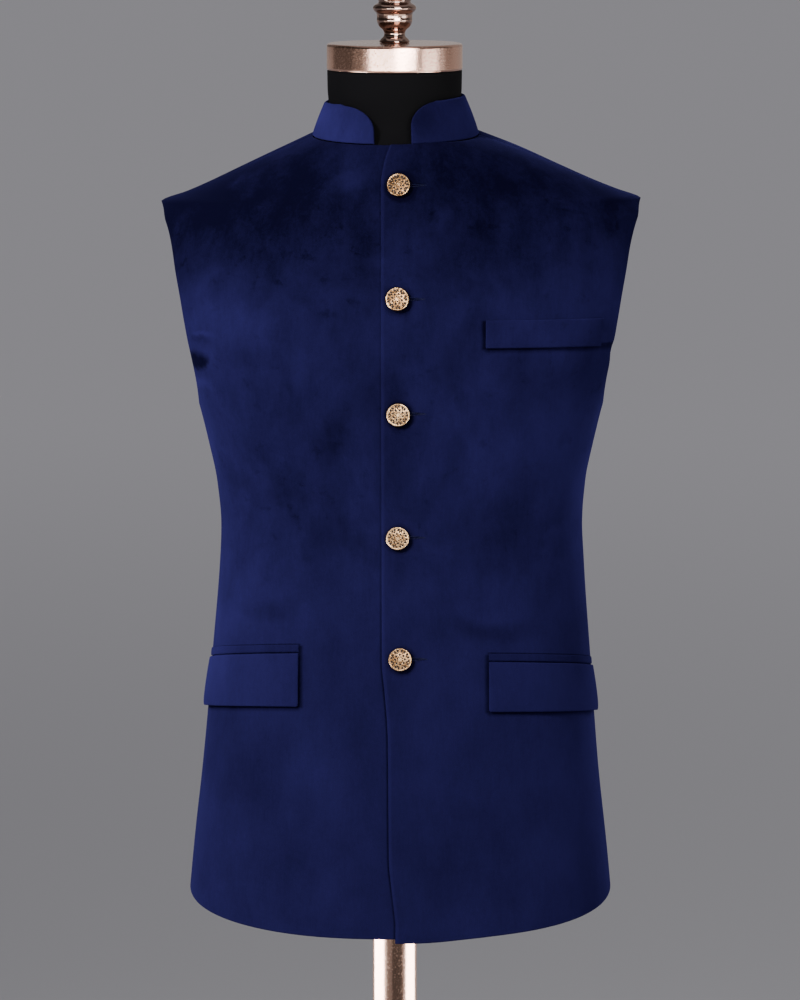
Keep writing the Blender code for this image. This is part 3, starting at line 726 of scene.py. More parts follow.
def make_sheet(name, grid, normals, from_edge, wall, material, marks=None):
    """A sheet of cloth from its outer points, with rolled edges and marks for its material."""
    sink = rolled(from_edge, wall)[..., None] * normals
    points = np.concatenate([(grid - sink).reshape(-1, 3), (grid - wall * normals + sink).reshape(-1, 3)])
    faces = sheet_faces(*grid.shape[:2])
    a, b, c, d = (points[faces[:, corner]] for corner in range(4))
    if (a * (np.cross(b, c) + np.cross(c, d))).sum() < 0:
        faces = faces[:, ::-1]
    both = {label: np.tile(values.reshape(-1), 2) for label, values in (marks or {}).items()}
    return new_piece(name, points, faces.tolist(), material, both)


def smooth_profile(profile, step):
    """More points along a turned profile, eased round its corners but kept close to them."""
    points = np.array(profile)
    before = np.vstack([points[:1], points[:-2]])
    later = np.vstack([points[2:], points[-1:]])
    found = [points[0]]
    for here, after, slope, next_slope in zip(
            points[:-1], points[1:], (points[1:] - before) / 2, (later - points[:-1]) / 2):
        count = max(2, int(np.linalg.norm(after - here) / step))
        for t in np.linspace(0.0, 1.0, count + 1)[1:]:
            found.append(
                here * (2 * t ** 3 - 3 * t ** 2 + 1) + slope * (t ** 3 - 2 * t ** 2 + t)
                + after * (-2 * t ** 3 + 3 * t ** 2) + next_slope * (t ** 3 - t ** 2))
    found = np.array(found)
    found[:, 0] = np.maximum(found[:, 0], 0.0)
    return found


def steadied(profile):
    """The profile with points close to the ends of its long runs, so that these shade as straight."""
    points = [profile[0]]
    for before, after in zip(profile[:-1], profile[1:]):
        before, after = np.array(before), np.array(after)
        run = np.linalg.norm(after - before)
        if run > LONG_RUN:
            inset = (after - before) * STEADY / run
            points += [before + inset, after - inset]
        points.append(after)
    return np.array(points)


def round_rings(profile, steps, x=0.0):
    """Rings of points round a vertical line, from radii and heights."""
    around = np.linspace(0.0, 2 * math.pi, steps, endpoint=False)
    radii = profile[:, :1]
    heights = np.broadcast_to(profile[:, 1:], (len(profile), steps))
    return np.stack([radii * np.cos(around) + x, radii * np.sin(around), heights], axis=-1)


def ringed_piece(name, rings, top, low, material, marks=None):
    """A closed piece from rings of points that run down it, and the points at its top and bottom."""
    count, steps = rings.shape[:2]
    spots = 1 + np.arange(count * steps).reshape(count, steps)
    beside = np.roll(spots, -1, axis=1)
    points = np.concatenate([[top], rings.reshape(-1, 3), [low]])
    faces = np.stack([spots[:-1], spots[1:], beside[1:], beside[:-1]], axis=-1).reshape(-1, 4).tolist()
    faces += [(0, a, b) for a, b in zip(spots[0].tolist(), beside[0].tolist())]
    faces += [(len(points) - 1, b, a) for a, b in zip(spots[-1].tolist(), beside[-1].tolist())]
    ended = {label: np.pad(values.reshape(-1), 1, mode="edge") for label, values in (marks or {}).items()}
    return new_piece(name, points, faces, material, ended)


# Node trees

class Wire:
    """An output socket. Arithmetic on wires and numbers adds Math nodes."""

    def __init__(self, tree, socket):
        self.tree = tree
        self.socket = socket

    def maths(self, operation, first, second):
        return self.tree.add("ShaderNodeMath", {"operation": operation}, {0: first, 1: second})

    def __add__(self, other):
        return self.maths("ADD", self, other)

    __radd__ = __add__

    def __sub__(self, other):
        return self.maths("SUBTRACT", self, other)

    def __rsub__(self, other):
        return self.maths("SUBTRACT", other, self)

    def __mul__(self, other):
        return self.maths("MULTIPLY", self, other)

    __rmul__ = __mul__

    def larger(self, other):
        return self.maths("MAXIMUM", self, other)

    def size(self):
        return self.tree.add("ShaderNodeMath", {"operation": "ABSOLUTE"}, {0: self})


class Tree:
    """A shader or geometry node tree."""

    def __init__(self, nodes):
        self.nodes = nodes

    def add(self, kind, settings=None, sockets=None, output=0):
        """Adds a node, sets it, joins or fills its sockets, and gives one of its outputs."""
        node = self.nodes.nodes.new(kind)
        for name, value in (settings or {}).items():
            setattr(node, name, value)
        self.fill(node, sockets or {})
        return Wire(self, node.outputs[output])

    def fill(self, node, sockets):
        for key, value in sockets.items():
            if isinstance(value, Wire):
                self.nodes.links.new(value.socket, node.inputs[key])
            else:
                node.inputs[key].default_value = value

    def mix(self, factor, low, high):
        return self.add("ShaderNodeMix", {"data_type": "RGBA"}, {
            "Factor": factor, "A": low, "B": high}, "Result")

    def noise(self, vector, grain):
        scale, detail, roughness, stretch = GRAINS[grain]
        if stretch != 1.0:
            vector = self.stretched(vector, (1.0, 1.0, stretch))
        return self.add("ShaderNodeTexNoise", {}, {
            "Vector": vector, "Scale": scale, "Detail": detail, "Roughness": roughness})

    def stretched(self, vector, scale):
        return self.add("ShaderNodeMapping", {}, {"Vector": vector, "Scale": scale})

    def shifted(self, vector, x, z):
        return self.add("ShaderNodeVectorMath", {"operation": "ADD"}, {
            0: vector, 1: self.add("ShaderNodeCombineXYZ", {}, {"X": x, "Z": z})})

    def mark(self, name):
        """The values that a piece's mesh carries under this name."""
        return self.add("ShaderNodeAttribute", {"attribute_name": name}, output="Fac")

    def bump(self, strength, distance, height):
        return self.add("ShaderNodeBump", {}, {"Strength": strength, "Distance": distance, "Height": height})

    def between(self, value, low, high):
        """0 below low, 1 above high, and smooth from one to the other."""
        return self.add("ShaderNodeMapRange", {"interpolation_type": "SMOOTHSTEP"}, {
            "Value": value, "From Min": low, "From Max": high})


def new_material(name):
    """A material with its tree, its Principled shader and its object coordinates."""
    material = bpy.data.materials.new(name)
    material.use_nodes = True
    tree = Tree(material.node_tree)
    shader = material.node_tree.nodes["Principled BSDF"]
    spot = tree.add("ShaderNodeTexCoord", output="Object")
    return material, tree, shader, spot


def opaque(colour, share=1.0):
    return (*(value * share for value in colour[:3]), 1.0)


# The colours and sizes that a user would change

def colour_setting(name, description, default):
    return bpy.props.FloatVectorProperty(
        name=name, description=description, subtype="COLOR", size=3, min=0, max=1, default=default)


def length_setting(name, description, default, least, most):
    return bpy.props.FloatProperty(
        name=name, description=description, default=default, min=least, max=most, unit="LENGTH")


class JACKET_PG_velvet(bpy.types.PropertyGroup):
    """Colours of the pile."""

    deep: colour_setting("Deep", "Velvet where the pile faces away", (0.0030, 0.0026, 0.0140))
    royal: colour_setting("Royal", "Velvet where the pile catches the light", (0.0225, 0.0190, 0.1080))
    sheen: bpy.props.FloatProperty(
        name="Sheen", description="Strength of the soft rim light on the pile", default=0.07, min=0, max=1)
    pile: length_setting("Pile", "Height of the pile's grain", 0.0004, 0.0, 0.003)


class JACKET_PG_trim(bpy.types.PropertyGroup):
    """Colours of the buttons, the thread, the dress form and the stand."""

    brass: colour_setting("Brass", "Raised metal of the buttons", (0.82, 0.54, 0.30))
    # Near-black colour of the recesses: painted shade for the pierced holes
    hole_shade: colour_setting("Hole shade", "Dark metal in the recesses of the buttons", (0.020, 0.010, 0.006))
    thread: colour_setting("Thread", "Sewing thread of the buttonholes", (0.008, 0.009, 0.045))
    copper: colour_setting("Copper", "Plating of the cap, the finial and the pole", (0.86, 0.53, 0.41))
    jersey: colour_setting("Jersey", "Cover of the dress form", (0.0044, 0.0042, 0.0050))
    stitch: length_setting("Stitch spacing", "From one buttonhole stitch to the next", 0.00070, 0.0004, 0.003)


class JACKET_PG_studio(bpy.types.PropertyGroup):
    """Camera and light."""

    distance: length_setting("Camera distance", "From the camera to the jacket's middle line", 4.0, 1.0, 50.0)
    height: length_setting("Camera height", "Above the floor", 1.774, 0.0, 50.0)
    pitch: bpy.props.FloatProperty(
        name="Camera pitch", description="How far the camera looks down", default=math.radians(9.0),
        subtype="ANGLE")
    lens: bpy.props.FloatProperty(
        name="Lens", description="Focal length for a 36 mm frame, in millimetres", default=154.33, min=10)
    floor: colour_setting("Floor", "Colour of the floor", (0.82, 0.81, 0.85))
    air: bpy.props.FloatProperty(
        name="Room light", description="Brightness of the even light from all round", default=0.31, min=0)


# Materials

def spot_share(tree, spot, x, z, across, up, core):
    """1 inside the core of an oval seen from the front, and 0 outside the oval."""
    away = tree.add("ShaderNodeVectorMath", {"operation": "DISTANCE"}, {
        0: tree.stretched(spot, (1.0 / across, 0.0, 1.0 / up)), 1: (x / across, 0.0, z / up)}, "Value")
    return 1 - tree.between(away, core, 1.0)


def trim_painted_shadow(tree, arc, y, z, trim):
    """Painted shadow under the lower edge, beside the inner end and along the slits of a pocket."""
    across = arc * trim["side"]
    depth_in, depth_out = body_points(np.array(trim["low_in"]), front_spots(
        trim["side"], (trim["inner"], trim["outer"]), (trim["low_in"], trim["low_out"])))[:, 1].tolist()

    def below(level_in, level_out):
        slope = (level_out - level_in) / (depth_out - depth_in)
        return (y - depth_in) * slope + level_in - z

    def past_inner_end(fade):
        return tree.between(across, trim["inner"] + fade[0], trim["inner"] + fade[1])

    under = below(trim["low_in"], trim["low_out"])
    over = below(trim["top_in"], trim["top_out"])
    along = past_inner_end(INNER_START)
    shade = (1 - tree.between(under, *UNDER_FADE)) * tree.between(under, *UNDER_START) * along
    beside = past_inner_end(BESIDE_START) * (1 - past_inner_end(BESIDE_END))
    shade = shade.larger(beside * (1 - tree.between(under, *BESIDE_LOW)) * tree.between(over, *BESIDE_HIGH))
    for level_in, level_out in trim["slits"]:
        off = below(level_in, level_out).size()
        shade = shade.larger((1 - tree.between(off, *SLIT_FADE)) * along)
    return shade


def painted_shadows_and_highlight(tree, spot):
    """Painted shadows round the buttons, beside the pocket trims, in the buttonhole slits and under the
    lapping edge, less a painted highlight along that edge.
    """
    arc = tree.mark("arc")
    lap = tree.mark("lap")
    parts = tree.add("ShaderNodeSeparateXYZ", {}, {0: spot}, "X").socket.node.outputs
    y, z = Wire(tree, parts["Y"]), Wire(tree, parts["Z"])
    lap_gain = LAP_SHADE + tree.between(z, *LAP_ABOVE) * (LAP_SHADE_ABOVE - LAP_SHADE)
    shade = (1 - tree.between(lap, *LAP_FADE)) * tree.between(lap, *LAP_START) * lap_gain
    for trim in pocket_trims():
        shade = shade.larger(trim_painted_shadow(tree, arc, y, z, trim) * TRIM_SHADE)
    for button in named_rows(BUTTON_SPOTS, SPOT_NAMES):
        x, height = button["x"], button["height"]
        button_shadow = spot_share(tree, spot, x + BUTTON_SHADOW_SHIFT[0], height + BUTTON_SHADOW_SHIFT[1], *BUTTON_SHADOW_REACH, BUTTON_SHADOW_CORE)
        middle = x + HOLE_START + HOLE_LENGTH / 2
        slit = spot_share(tree, spot, middle, height, HOLE_LENGTH / 2, HOLE_SHADE_REACH, HOLE_SHADE_CORE)
        shade = shade.larger(button_shadow * BUTTON_SHADE).larger(slit * HOLE_SHADE)
    # Painted highlight along the left front's edge
    highlight = tree.between(lap, *HIGHLIGHT_START) * (1 - tree.between(lap, *HIGHLIGHT_END)) * LAP_HIGHLIGHT
    return shade - highlight


def velvet_material(part):
    """Cut velvet: cloudy patches of brushed pile, streaks along the nap and a fine grain.

    Each velvet has a tone, the share of the lighter colour, and changes to that share: partly the pile's own
    tone and partly painted light and shade. On the fronts the share also carries painted shadows and a
    painted highlight.
    """
    sizes = bpy.context.scene.jacket_velvet
    tone, painted_light_and_tones = VELVETS[part]
    material, tree, shader, spot = new_material("navy_velvet_" + part)
    bend = tree.noise(spot, "bend")
    ruffle = tree.noise(spot, "ruffle")
    moved = tree.shifted(spot, bend * BEND_ACROSS, bend * BEND_UP)
    ragged = tree.shifted(
        spot, (ruffle - 0.5) * RUFFLE_ACROSS, (bend - 0.5) * BEND_UP + (ruffle - 0.5) * RUFFLE_UP)
    clouds = tree.noise(moved, "clouds")
    patches = tree.noise(moved, "patches")
    streaks = tree.noise(spot, "streaks")
    fibres = tree.noise(spot, "fibres")
    height = tree.add("ShaderNodeSeparateXYZ", {}, {0: spot}, "Z")
    brushed = (tree.between(tree.noise(moved, "brushed"), *BRUSHED_FROM)
               * tree.between(height, *BRUSHED_LOW) * (1 - tree.between(height, *BRUSHED_HIGH)))
    patch_gain = PATCH_GAIN + tree.between(height, *PATCHES_ABOVE) * PATCH_GAIN_ABOVE
    share = ((clouds - 0.5) * CLOUD_GAIN + (patches - 0.5) * patch_gain
             + (tree.noise(spot, "nap") - 0.5) * NAP_GAIN + (streaks - 0.5) * STREAK_GAIN
             + (fibres - 0.5) * FIBRE_GAIN - brushed * BRUSHED_GAIN + tone)
    # Painted light and shade over the pile's own tone
    for change in named_rows(painted_light_and_tones, TONE_NAMES):
        gain = change.pop("gain")
        share = share + spot_share(tree, ragged, **change) * gain
    # The fronts also carry painted shadows and a painted highlight
    if part == "front":
        share = share - painted_shadows_and_highlight(tree, spot)
    share = tree.add("ShaderNodeClamp", {}, {"Value": share})
    tree.fill(shader, {
        "Base Color": tree.mix(share, opaque(sizes.deep), opaque(sizes.royal)),
        "Roughness": 0.62 + patches * 0.20,
        "Normal": tree.bump(0.5, sizes.pile, fibres * 0.6 + streaks * 0.4),
        "Specular IOR Level": 0.0,
        "Sheen Weight": sizes.sheen,
        "Sheen Roughness": 0.40,
        "Sheen Tint": (0.25, 0.24, 1.0, 1.0)})
    return material


def thread_material():
    colour = bpy.context.scene.jacket_trim.thread
    material, tree, shader, spot = new_material("navy_thread")
    twist = tree.noise(spot, "twist")
    tree.fill(shader, {
        "Base Color": tree.mix(twist, opaque(colour, 0.45), opaque(colour, 1.5)),
        "Roughness": 0.45 + twist * 0.25,
        "Normal": tree.bump(0.4, 0.0001, twist),
        "Specular IOR Level": 0.1})
    return material


def jersey_material():
    """Black knitted cover: a fine fuzz over a soft mottle."""
    colour = bpy.context.scene.jacket_trim.jersey
    material, tree, shader, spot = new_material("black_jersey_cover")
    mottle = tree.noise(spot, "mottle")
    fuzz = tree.noise(spot, "fibres")
    tree.fill(shader, {
        "Base Color": tree.mix(mottle * 0.5 + fuzz * 0.5, opaque(colour, 0.55), opaque(colour, 1.6)),
        "Roughness": 0.80 + mottle * 0.15,
        "Normal": tree.bump(0.3, 0.0003, fuzz),
        "Specular IOR Level": 0.05})
    return material


def brass_material():
    """Cast brass: brighter at its middle and rim, rubbed high parts with a painted highlight, and near-black
    in its recesses, painted shade for the pierced holes.
    """
    sizes = bpy.context.scene.jacket_trim
    material, tree, shader, spot = new_material("antique_brass_cast")
    wear = tree.noise(spot, "wear")
    casting = tree.noise(spot, "casting")
    patchy = wear * 0.6 + tree.noise(spot, "tarnish") * 0.4
    worn = tree.between(patchy, 0.42, 0.60) * 0.8 + tree.mark("tarnish")
    dull = opaque([colour * share for colour, share in zip(sizes.brass, TARNISHED)])
    # Near-black in the recesses: painted shade for the pierced holes
    dark = tree.between(tree.mark("recess") + (casting - 0.5) * 0.25, 0.12, 0.55)
    tree.fill(shader, {
        "Base Color": tree.mix(dark, tree.mix(worn, opaque(sizes.brass), dull), opaque(sizes.hole_shade)),
        "Roughness": 0.30 + wear * 0.16 + dark * 0.35,
        "Metallic": 1 - dark * 0.9,
        "Normal": tree.bump(0.7, 0.00012, casting + wear)})
    return material


def copper_material(name, shade, polish):
    """Rose-gold plating with a fine speckle that breaks up the edges of reflections.

    shade is the share of the plating's colour that is left, where below 1 it is painted shade, and polish
    makes it smoother.
    """
    material, tree, shader, spot = new_material(name)
    speckle = tree.noise(spot, "speckle")
    smear = tree.noise(spot, "smear")
    full = [colour * share for colour, share in zip(bpy.context.scene.jacket_trim.copper, shade)]
    tree.fill(shader, {
        "Base Color": tree.mix(tree.between(smear, 0.30, 0.72), opaque(full, 0.86), opaque(full)),
        "Roughness": (0.12 + tree.between(speckle, 0.45, 0.75) * 0.18 + smear * 0.06) * (1 - polish),
        "Normal": tree.bump(0.45 * (1 - polish), 0.00020, speckle),
        "Metallic": 1.0})
    return material


def floor_material():
    colour = bpy.context.scene.jacket_studio.floor
    material, tree, shader, spot = new_material("pale_floor")
    away = tree.add("ShaderNodeVectorMath", {"operation": "LENGTH"}, {0: spot}, "Value")
    tree.fill(shader, {
        # Painted shade: the floor is darker near the stand, to even out the softboxes' pool of light
        "Base Color": tree.mix(tree.between(away, *FLOOR_SHADE_FADE), opaque(colour, 0.60), opaque(colour)),
        "Roughness": 0.9,
        "Specular IOR Level": 0.1})
    return material


def shared_material(name, make, *values):
    """The material of that name, made the first time that a piece asks for it."""
    return bpy.data.materials.get(name) or make(*values)


def velvet(part):
    return shared_material("navy_velvet_" + part, velvet_material, part)


def copper(name):
    return shared_material(name, copper_material, name, *COPPERS[name])


# Repeats made by Geometry Nodes

def new_geometry_tree(name, inputs):
    """A geometry tree with named inputs, and the wires of its inputs."""
    group = bpy.data.node_groups.new(name, "GeometryNodeTree")
    group.interface.new_socket("Geometry", in_out="INPUT", socket_type="NodeSocketGeometry")
    for label, kind in inputs.items():
        group.interface.new_socket(label, in_out="INPUT", socket_type=kind)
    group.interface.new_socket("Geometry", in_out="OUTPUT", socket_type="NodeSocketGeometry")
    tree = Tree(group)
    source = group.nodes.new("NodeGroupInput")
    return tree, {socket.name: Wire(tree, socket) for socket in source.outputs if socket.name}


def end_geometry_tree(tree, instances, material):
    """Realises the instances, gives them their material and leads them out."""
    real = tree.add("GeometryNodeRealizeInstances", {}, {"Geometry": instances})
    smooth = tree.add("GeometryNodeSetShadeSmooth", {}, {"Geometry": real})
    dressed = tree.add("GeometryNodeSetMaterial", {}, {"Geometry": smooth, "Material": material})
    tree.fill(tree.nodes.nodes.new("NodeGroupOutput"), {"Geometry": dressed})
    return tree.nodes


def stitch_tree():
    """Stitches laid across a path, each turned a little by chance."""
    tree, given = new_geometry_tree("stitches_across_a_path", {
        "Spacing": "NodeSocketFloat", "Length": "NodeSocketFloat", "Thickness": "NodeSocketFloat",
        "Unevenness": "NodeSocketFloat", "Seed": "NodeSocketInt", "Material": "NodeSocketMaterial"})
    curve = tree.add("GeometryNodeMeshToCurve", {}, {"Mesh": given["Geometry"]})
    spaced = tree.add("GeometryNodeResampleCurve", {"mode": "LENGTH"}, {
        "Curve": curve, "Length": given["Spacing"]})
    face_out = tree.add("GeometryNodeInputNamedAttribute", {"data_type": "FLOAT_VECTOR"}, {
        "Name": "face_out"})
    tangent = tree.add("GeometryNodeInputTangent")
    facing = tree.add("FunctionNodeAxesToRotation", {"primary_axis": "Z", "secondary_axis": "X"}, {
        "Primary Axis": face_out, "Secondary Axis": tangent})
    drop = tree.add("GeometryNodeMeshUVSphere", {}, {"Segments": 8, "Rings": 5, "Radius": 0.5})
    size = tree.add("ShaderNodeCombineXYZ", {}, {
        "X": given["Thickness"], "Y": given["Length"], "Z": given["Thickness"]})
    laid = tree.add("GeometryNodeInstanceOnPoints", {}, {
        "Points": spaced, "Instance": drop, "Rotation": facing, "Scale": size})
    turn = tree.add("FunctionNodeRandomValue", {"data_type": "FLOAT"}, {
        "Min": given["Unevenness"] * -1.0, "Max": given["Unevenness"], "Seed": given["Seed"]}, 1)
    uneven = tree.add("GeometryNodeRotateInstances", {}, {
        "Instances": laid, "Rotation": tree.add("ShaderNodeCombineXYZ", {}, {"Z": turn})})
    return end_geometry_tree(tree, uneven, given["Material"])


def run_geometry(obj, group, values):
    """Gives an object one geometry tree with its inputs, and turns the result into its plain mesh."""
    modifier = obj.modifiers.new(group.name, "NODES")
    modifier.node_group = group
    for item in group.interface.items_tree:
        if item.in_out == "INPUT" and item.name in values:
            modifier[item.identifier] = values[item.name]
    bpy.context.view_layer.update()
    made = obj.evaluated_get(bpy.context.evaluated_depsgraph_get())
    mesh = bpy.data.meshes.new_from_object(made)
    mesh.name = obj.name
    obj.modifiers.clear()
    obj.data = mesh


# Pieces

def finish_piece(piece, replaced):
    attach(piece, BODY)
    if replaced:
        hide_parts(*replaced)
    return piece


def finish_cloth(piece, replaced):
    finish_piece(piece, replaced)
    return piece


def front_marks(grid, arcs):
    """Marks of a front: its distance from the middle line, and from the left front's edge outwards."""
    edge = read_column(LEFT_EDGE, EDGE_NAMES, "x", grid[..., 2])
    return {"arc": arcs, "lap": edge - grid[..., 0]}


def make_right_front():
    def ends(height):
        return front_start(-1, height), side_angle(height, "front", ARMHOLE_FRONT) - math.pi

    grid, normals, from_edge, arcs = panel_grid(ends, FRONT_COLUMNS)
    piece = make_sheet("right_front_cloth", grid, normals, from_edge, WALL, velvet("front"),
                       front_marks(grid, arcs))
    return finish_cloth(piece, ["right_front"])


def make_left_front():
    def ends(height):
        return front_start(1, height), -side_angle(height, "front", ARMHOLE_FRONT)

    grid, normals, from_edge, arcs = panel_grid(ends, FRONT_COLUMNS)
    marks = front_marks(grid, arcs)
    near_hem = 1 - ramp(grid[..., 2], HEM, HEM_DIP_TOP)
    near_front = 1 - ramp(grid[..., 0], 0.0, LEFT_HEM_DIP_REACH)
    grid[..., 2] -= LEFT_HEM_DIP * near_hem * near_front
    grid = grid + left_lift(grid[..., :1]) * normals
    piece = make_sheet("left_front_cloth", grid, normals, from_edge, WALL, velvet("front"), marks)
    return finish_cloth(piece, ["left_front"])


def make_back():
    def ends(height):
        start = side_angle(height, "back", ARMHOLE_BACK)
        return start, math.pi - start

    grid, normals, from_edge, _ = panel_grid(ends, BACK_COLUMNS)
    piece = make_sheet("back_cloth", grid, normals, from_edge, WALL, velvet("back"))
    return finish_cloth(piece, ["back"])


def collar_ring(level, angles):
    """Points of the collar's outer face at a share of its height."""
    def between(low, high):
        return low + (high - low) * level

    front = between(measure("front", NECKLINE), COLLAR_TOP["front"])
    back = between(measure("back", NECKLINE), COLLAR_TOP["back"])
    half_width = between(measure("half_width", NECKLINE), COLLAR_TOP["half_width"])
    bow = COLLAR_BOW * math.sin(math.pi * level)
    front_tilt = between(COLLAR_BASE_TILT[0], COLLAR_TOP_TILT[0])
    back_tilt = between(COLLAR_BASE_TILT[1], COLLAR_TOP_TILT[1])
    along = np.sin(angles)
    x = (half_width + bow) * np.cos(angles) + between(measure("shift", NECKLINE), NECK_X)
    y = (np.where(along < 0, front, back) + bow) * along
    rise = np.where(along < 0, front_tilt * np.abs(along), back_tilt * np.abs(along) ** (1 + level))
    z = NECKLINE + COLLAR_GAP + COLLAR_HEIGHT * level + rise
    z = z + (SHOULDER_LEAN + COLLAR_LEAN * level) * x
    return np.stack([x, y, z], axis=-1)


def collar_end(end, level):
    """Distance of a collar end from the middle of the neck: straight, then a rounded upper corner."""
    t = max(0.0, (level - end["round_from"]) / (1 - end["round_from"]))
    return end["start"] + math.copysign(end["reach"] * (1 - math.sqrt(1 - t * t)), end["start"])


def collar_levels():
    """Shares of the collar's height: close together at both edges, and near the top where its ends turn."""
    near = np.array(EDGE_STEPS) / COLLAR_HEIGHT
    turn = 1 - (1 - near[-1]) * (1 - np.sin(np.linspace(0.0, math.pi / 2, COLLAR_ROWS)))
    low = near[-1] + (turn - turn[0]) / (turn[-1] - turn[0]) * (1 - 2 * near[-1])
    return np.concatenate([near, low[1:-1], 1 - near[::-1]])


def outward_grid_normals(grid, middle_x):
    """Unit normals of a grid of points, pointing away from a vertical line."""
    normals = unit(np.cross(np.gradient(grid, axis=1), np.gradient(grid, axis=0)))
    away = grid - np.array([middle_x, 0.0, 0.0])
    away[..., 2] = 0.0
    return normals if (normals * away).sum() > 0 else -normals


def make_collar():
    rows = []
    sides = []
    for level in collar_levels():
        base = measure("half_width", NECKLINE)
        half_width = base + (COLLAR_TOP["half_width"] - base) * level
        start = -math.acos(collar_end(COLLAR_LEFT_END, level) / half_width)
        end = math.acos(-collar_end(COLLAR_RIGHT_END, level) / half_width) + math.pi
        fine = np.linspace(start, end, COLLAR_FINE)
        along = run_lengths(collar_ring(level, fine))
        wanted = graded(along[-1], COLLAR_COLUMNS)
        rows.append(collar_ring(level, np.interp(wanted, along, fine)))
        below_top = COLLAR_HEIGHT * min(level, 1 - level)
        sides.append(np.minimum(np.minimum(wanted, along[-1] - wanted), below_top))
    grid = np.array(rows)
    normals = outward_grid_normals(grid, NECK_X)
    normals[..., 2] *= COLLAR_NORMAL_RISE
    piece = make_sheet("collar_cloth", grid, unit(normals), np.array(sides), COLLAR_WALL, velvet("collar"))
    return finish_cloth(piece, ["collar"])


def front_spots(side, distances, heights):
    """Angles on one front at distances from its middle line, one for each height."""
    found = []
    for distance, height in zip(distances, heights):
        fine = np.linspace(angle_at_x(height, 0.0), 0.0 if side > 0 else -math.pi, SPOT_FINE)
        found.append(np.interp(distance, run_lengths(body_points(height, fine)), fine))
    return np.array(found)


def patch_grid(side, inner, outer, low, top, columns, rows, corners=(0.0, 0.0)):
    """Points, normals and edge distances of a patch on a front, with rounded lower corners.

    low and top are heights at the inner and the outer end.
    """
    tall = (top[0] - low[0] + top[1] - low[1]) / 2
    ups = graded(tall, rows)
    fine = np.linspace(inner, outer, PATCH_FINE)
    middle = np.full(len(fine), (low[0] + top[1]) / 2)
    depths = body_points(middle, front_spots(side, fine, middle))[:, 1]
    points, normals, from_edge = [], [], []
    for up in ups:
        cut = [r - math.sqrt(max(0.0, r * r - max(0.0, r - up) ** 2)) for r in corners]
        start, end = inner + cut[0], outer - cut[1]
        runs = graded(end - start, columns)
        shares = (np.interp(start + runs, fine, depths) - depths[0]) / (depths[-1] - depths[0])
        bottom = low[0] + (low[1] - low[0]) * shares
        upper = top[0] + (top[1] - top[0]) * shares
        heights = bottom + (upper - bottom) * up / tall
        row_points, row_normals = cloth_points(heights, front_spots(side, start + runs, heights))
        points.append(row_points)
        normals.append(row_normals)
        from_edge.append(np.minimum(np.minimum(runs, runs[-1] - runs), min(up, tall - up)))
    return np.array(points), np.array(normals), np.array(from_edge), ups / tall


def raise_patch(name, patch, lifts, wall, material, crown=0.0, flare=0.0):
    """A sheet on a front: lifted from low to top, crowned, and flared at its lower outer corner."""
    grid, normals, from_edge, shares = patch
    lift = np.interp(shares, np.linspace(0.0, 1.0, len(lifts)), lifts)
    swell = crown * np.sin(math.pi * shares)
    outward = np.linspace(0.0, 1.0, grid.shape[1]) ** 3
    away = (lift + wall + swell)[:, None] + flare * (1 - shares)[:, None] * outward
    return make_sheet(name, grid + away[..., None] * normals, normals, from_edge, wall, material)


def pocket_trims():
    """The outline of each pocket's trims on the fronts, with the slit lines where shade is painted on the
    front.
    """
    trims = [{**WELT, "side": 1, "slits": ()}]
    for values in POCKETS.values():
        pocket = dict(zip(POCKET_NAMES, values))
        trims.append({
            "side": pocket["side"], "inner": pocket["inner"], "outer": pocket["outer"],
            "low_in": pocket["flap_low_in"], "low_out": pocket["flap_low_out"],
            "top_in": pocket["jet_top_in"], "top_out": pocket["jet_top_out"],
            "slits": ((pocket["flap_top_in"], pocket["flap_top_out"]),
                      (pocket["jet_top_in"] + JET_SHADE_RISE, pocket["jet_top_out"] + JET_SHADE_RISE))})
    return trims


def make_pocket(which):
    """A flap with the jet of its pocket above it."""
    pocket = dict(zip(POCKET_NAMES, POCKETS[which]))
    span = (pocket["side"], pocket["inner"], pocket["outer"])
    jet_low = (pocket["flap_top_in"] + SLIT, pocket["flap_top_out"] + SLIT)
    jet_top = (pocket["jet_top_in"], pocket["jet_top_out"])
    jet = raise_patch("pocket_jet_" + which, patch_grid(*span, jet_low, jet_top, *JET_MESH),
                      (SEAM_GAP, SEAM_GAP), JET_WALL, velvet("jet"), JET_CROWN)
    finish_cloth(jet, ["jet_" + which])
    flap_low = (pocket["flap_low_in"], pocket["flap_low_out"])
    flap_top = (pocket["flap_top_in"] - SLIT, pocket["flap_top_out"] - SLIT)
    grid = patch_grid(*span, flap_low, flap_top, *FLAP_MESH, (pocket["corner_in"], pocket["corner_out"]))
    flap = raise_patch("pocket_flap_" + which, grid, FLAP_LIFTS, FLAP_WALL, velvet("trim"),
                       FLAP_CROWN, FLAP_FLARE)
    finish_cloth(flap, ["flap_" + which])


def make_welt():
    low = (WELT["low_in"], WELT["low_out"])
    top = (WELT["top_in"], WELT["top_out"])
    grid = patch_grid(1, WELT["inner"], WELT["outer"], low, top, *WELT_MESH, (WELT_CORNER, WELT_CORNER))
    welt = raise_patch("breast_welt_cloth", grid, WELT_LIFTS, WELT_WALL, velvet("trim"))
    finish_cloth(welt, ["breast_welt"])


def button_relief(x, y):
    """How deep the cast pattern of a button is at each spot, from 0 to 1."""
    depth = np.zeros(x.shape)
    for ring in named_rows(RECESSES, RECESS_NAMES):
        for number in range(ring["count"]):
            angle = math.radians(ring["turn"]) + 2 * math.pi * number / ring["count"]
            off = np.hypot(x - ring["ring"] * math.cos(angle), y - ring["ring"] * math.sin(angle))
            depth = np.maximum(depth, 1 - ramp(off / ring["radius"], *RECESS_EDGE))
    return depth


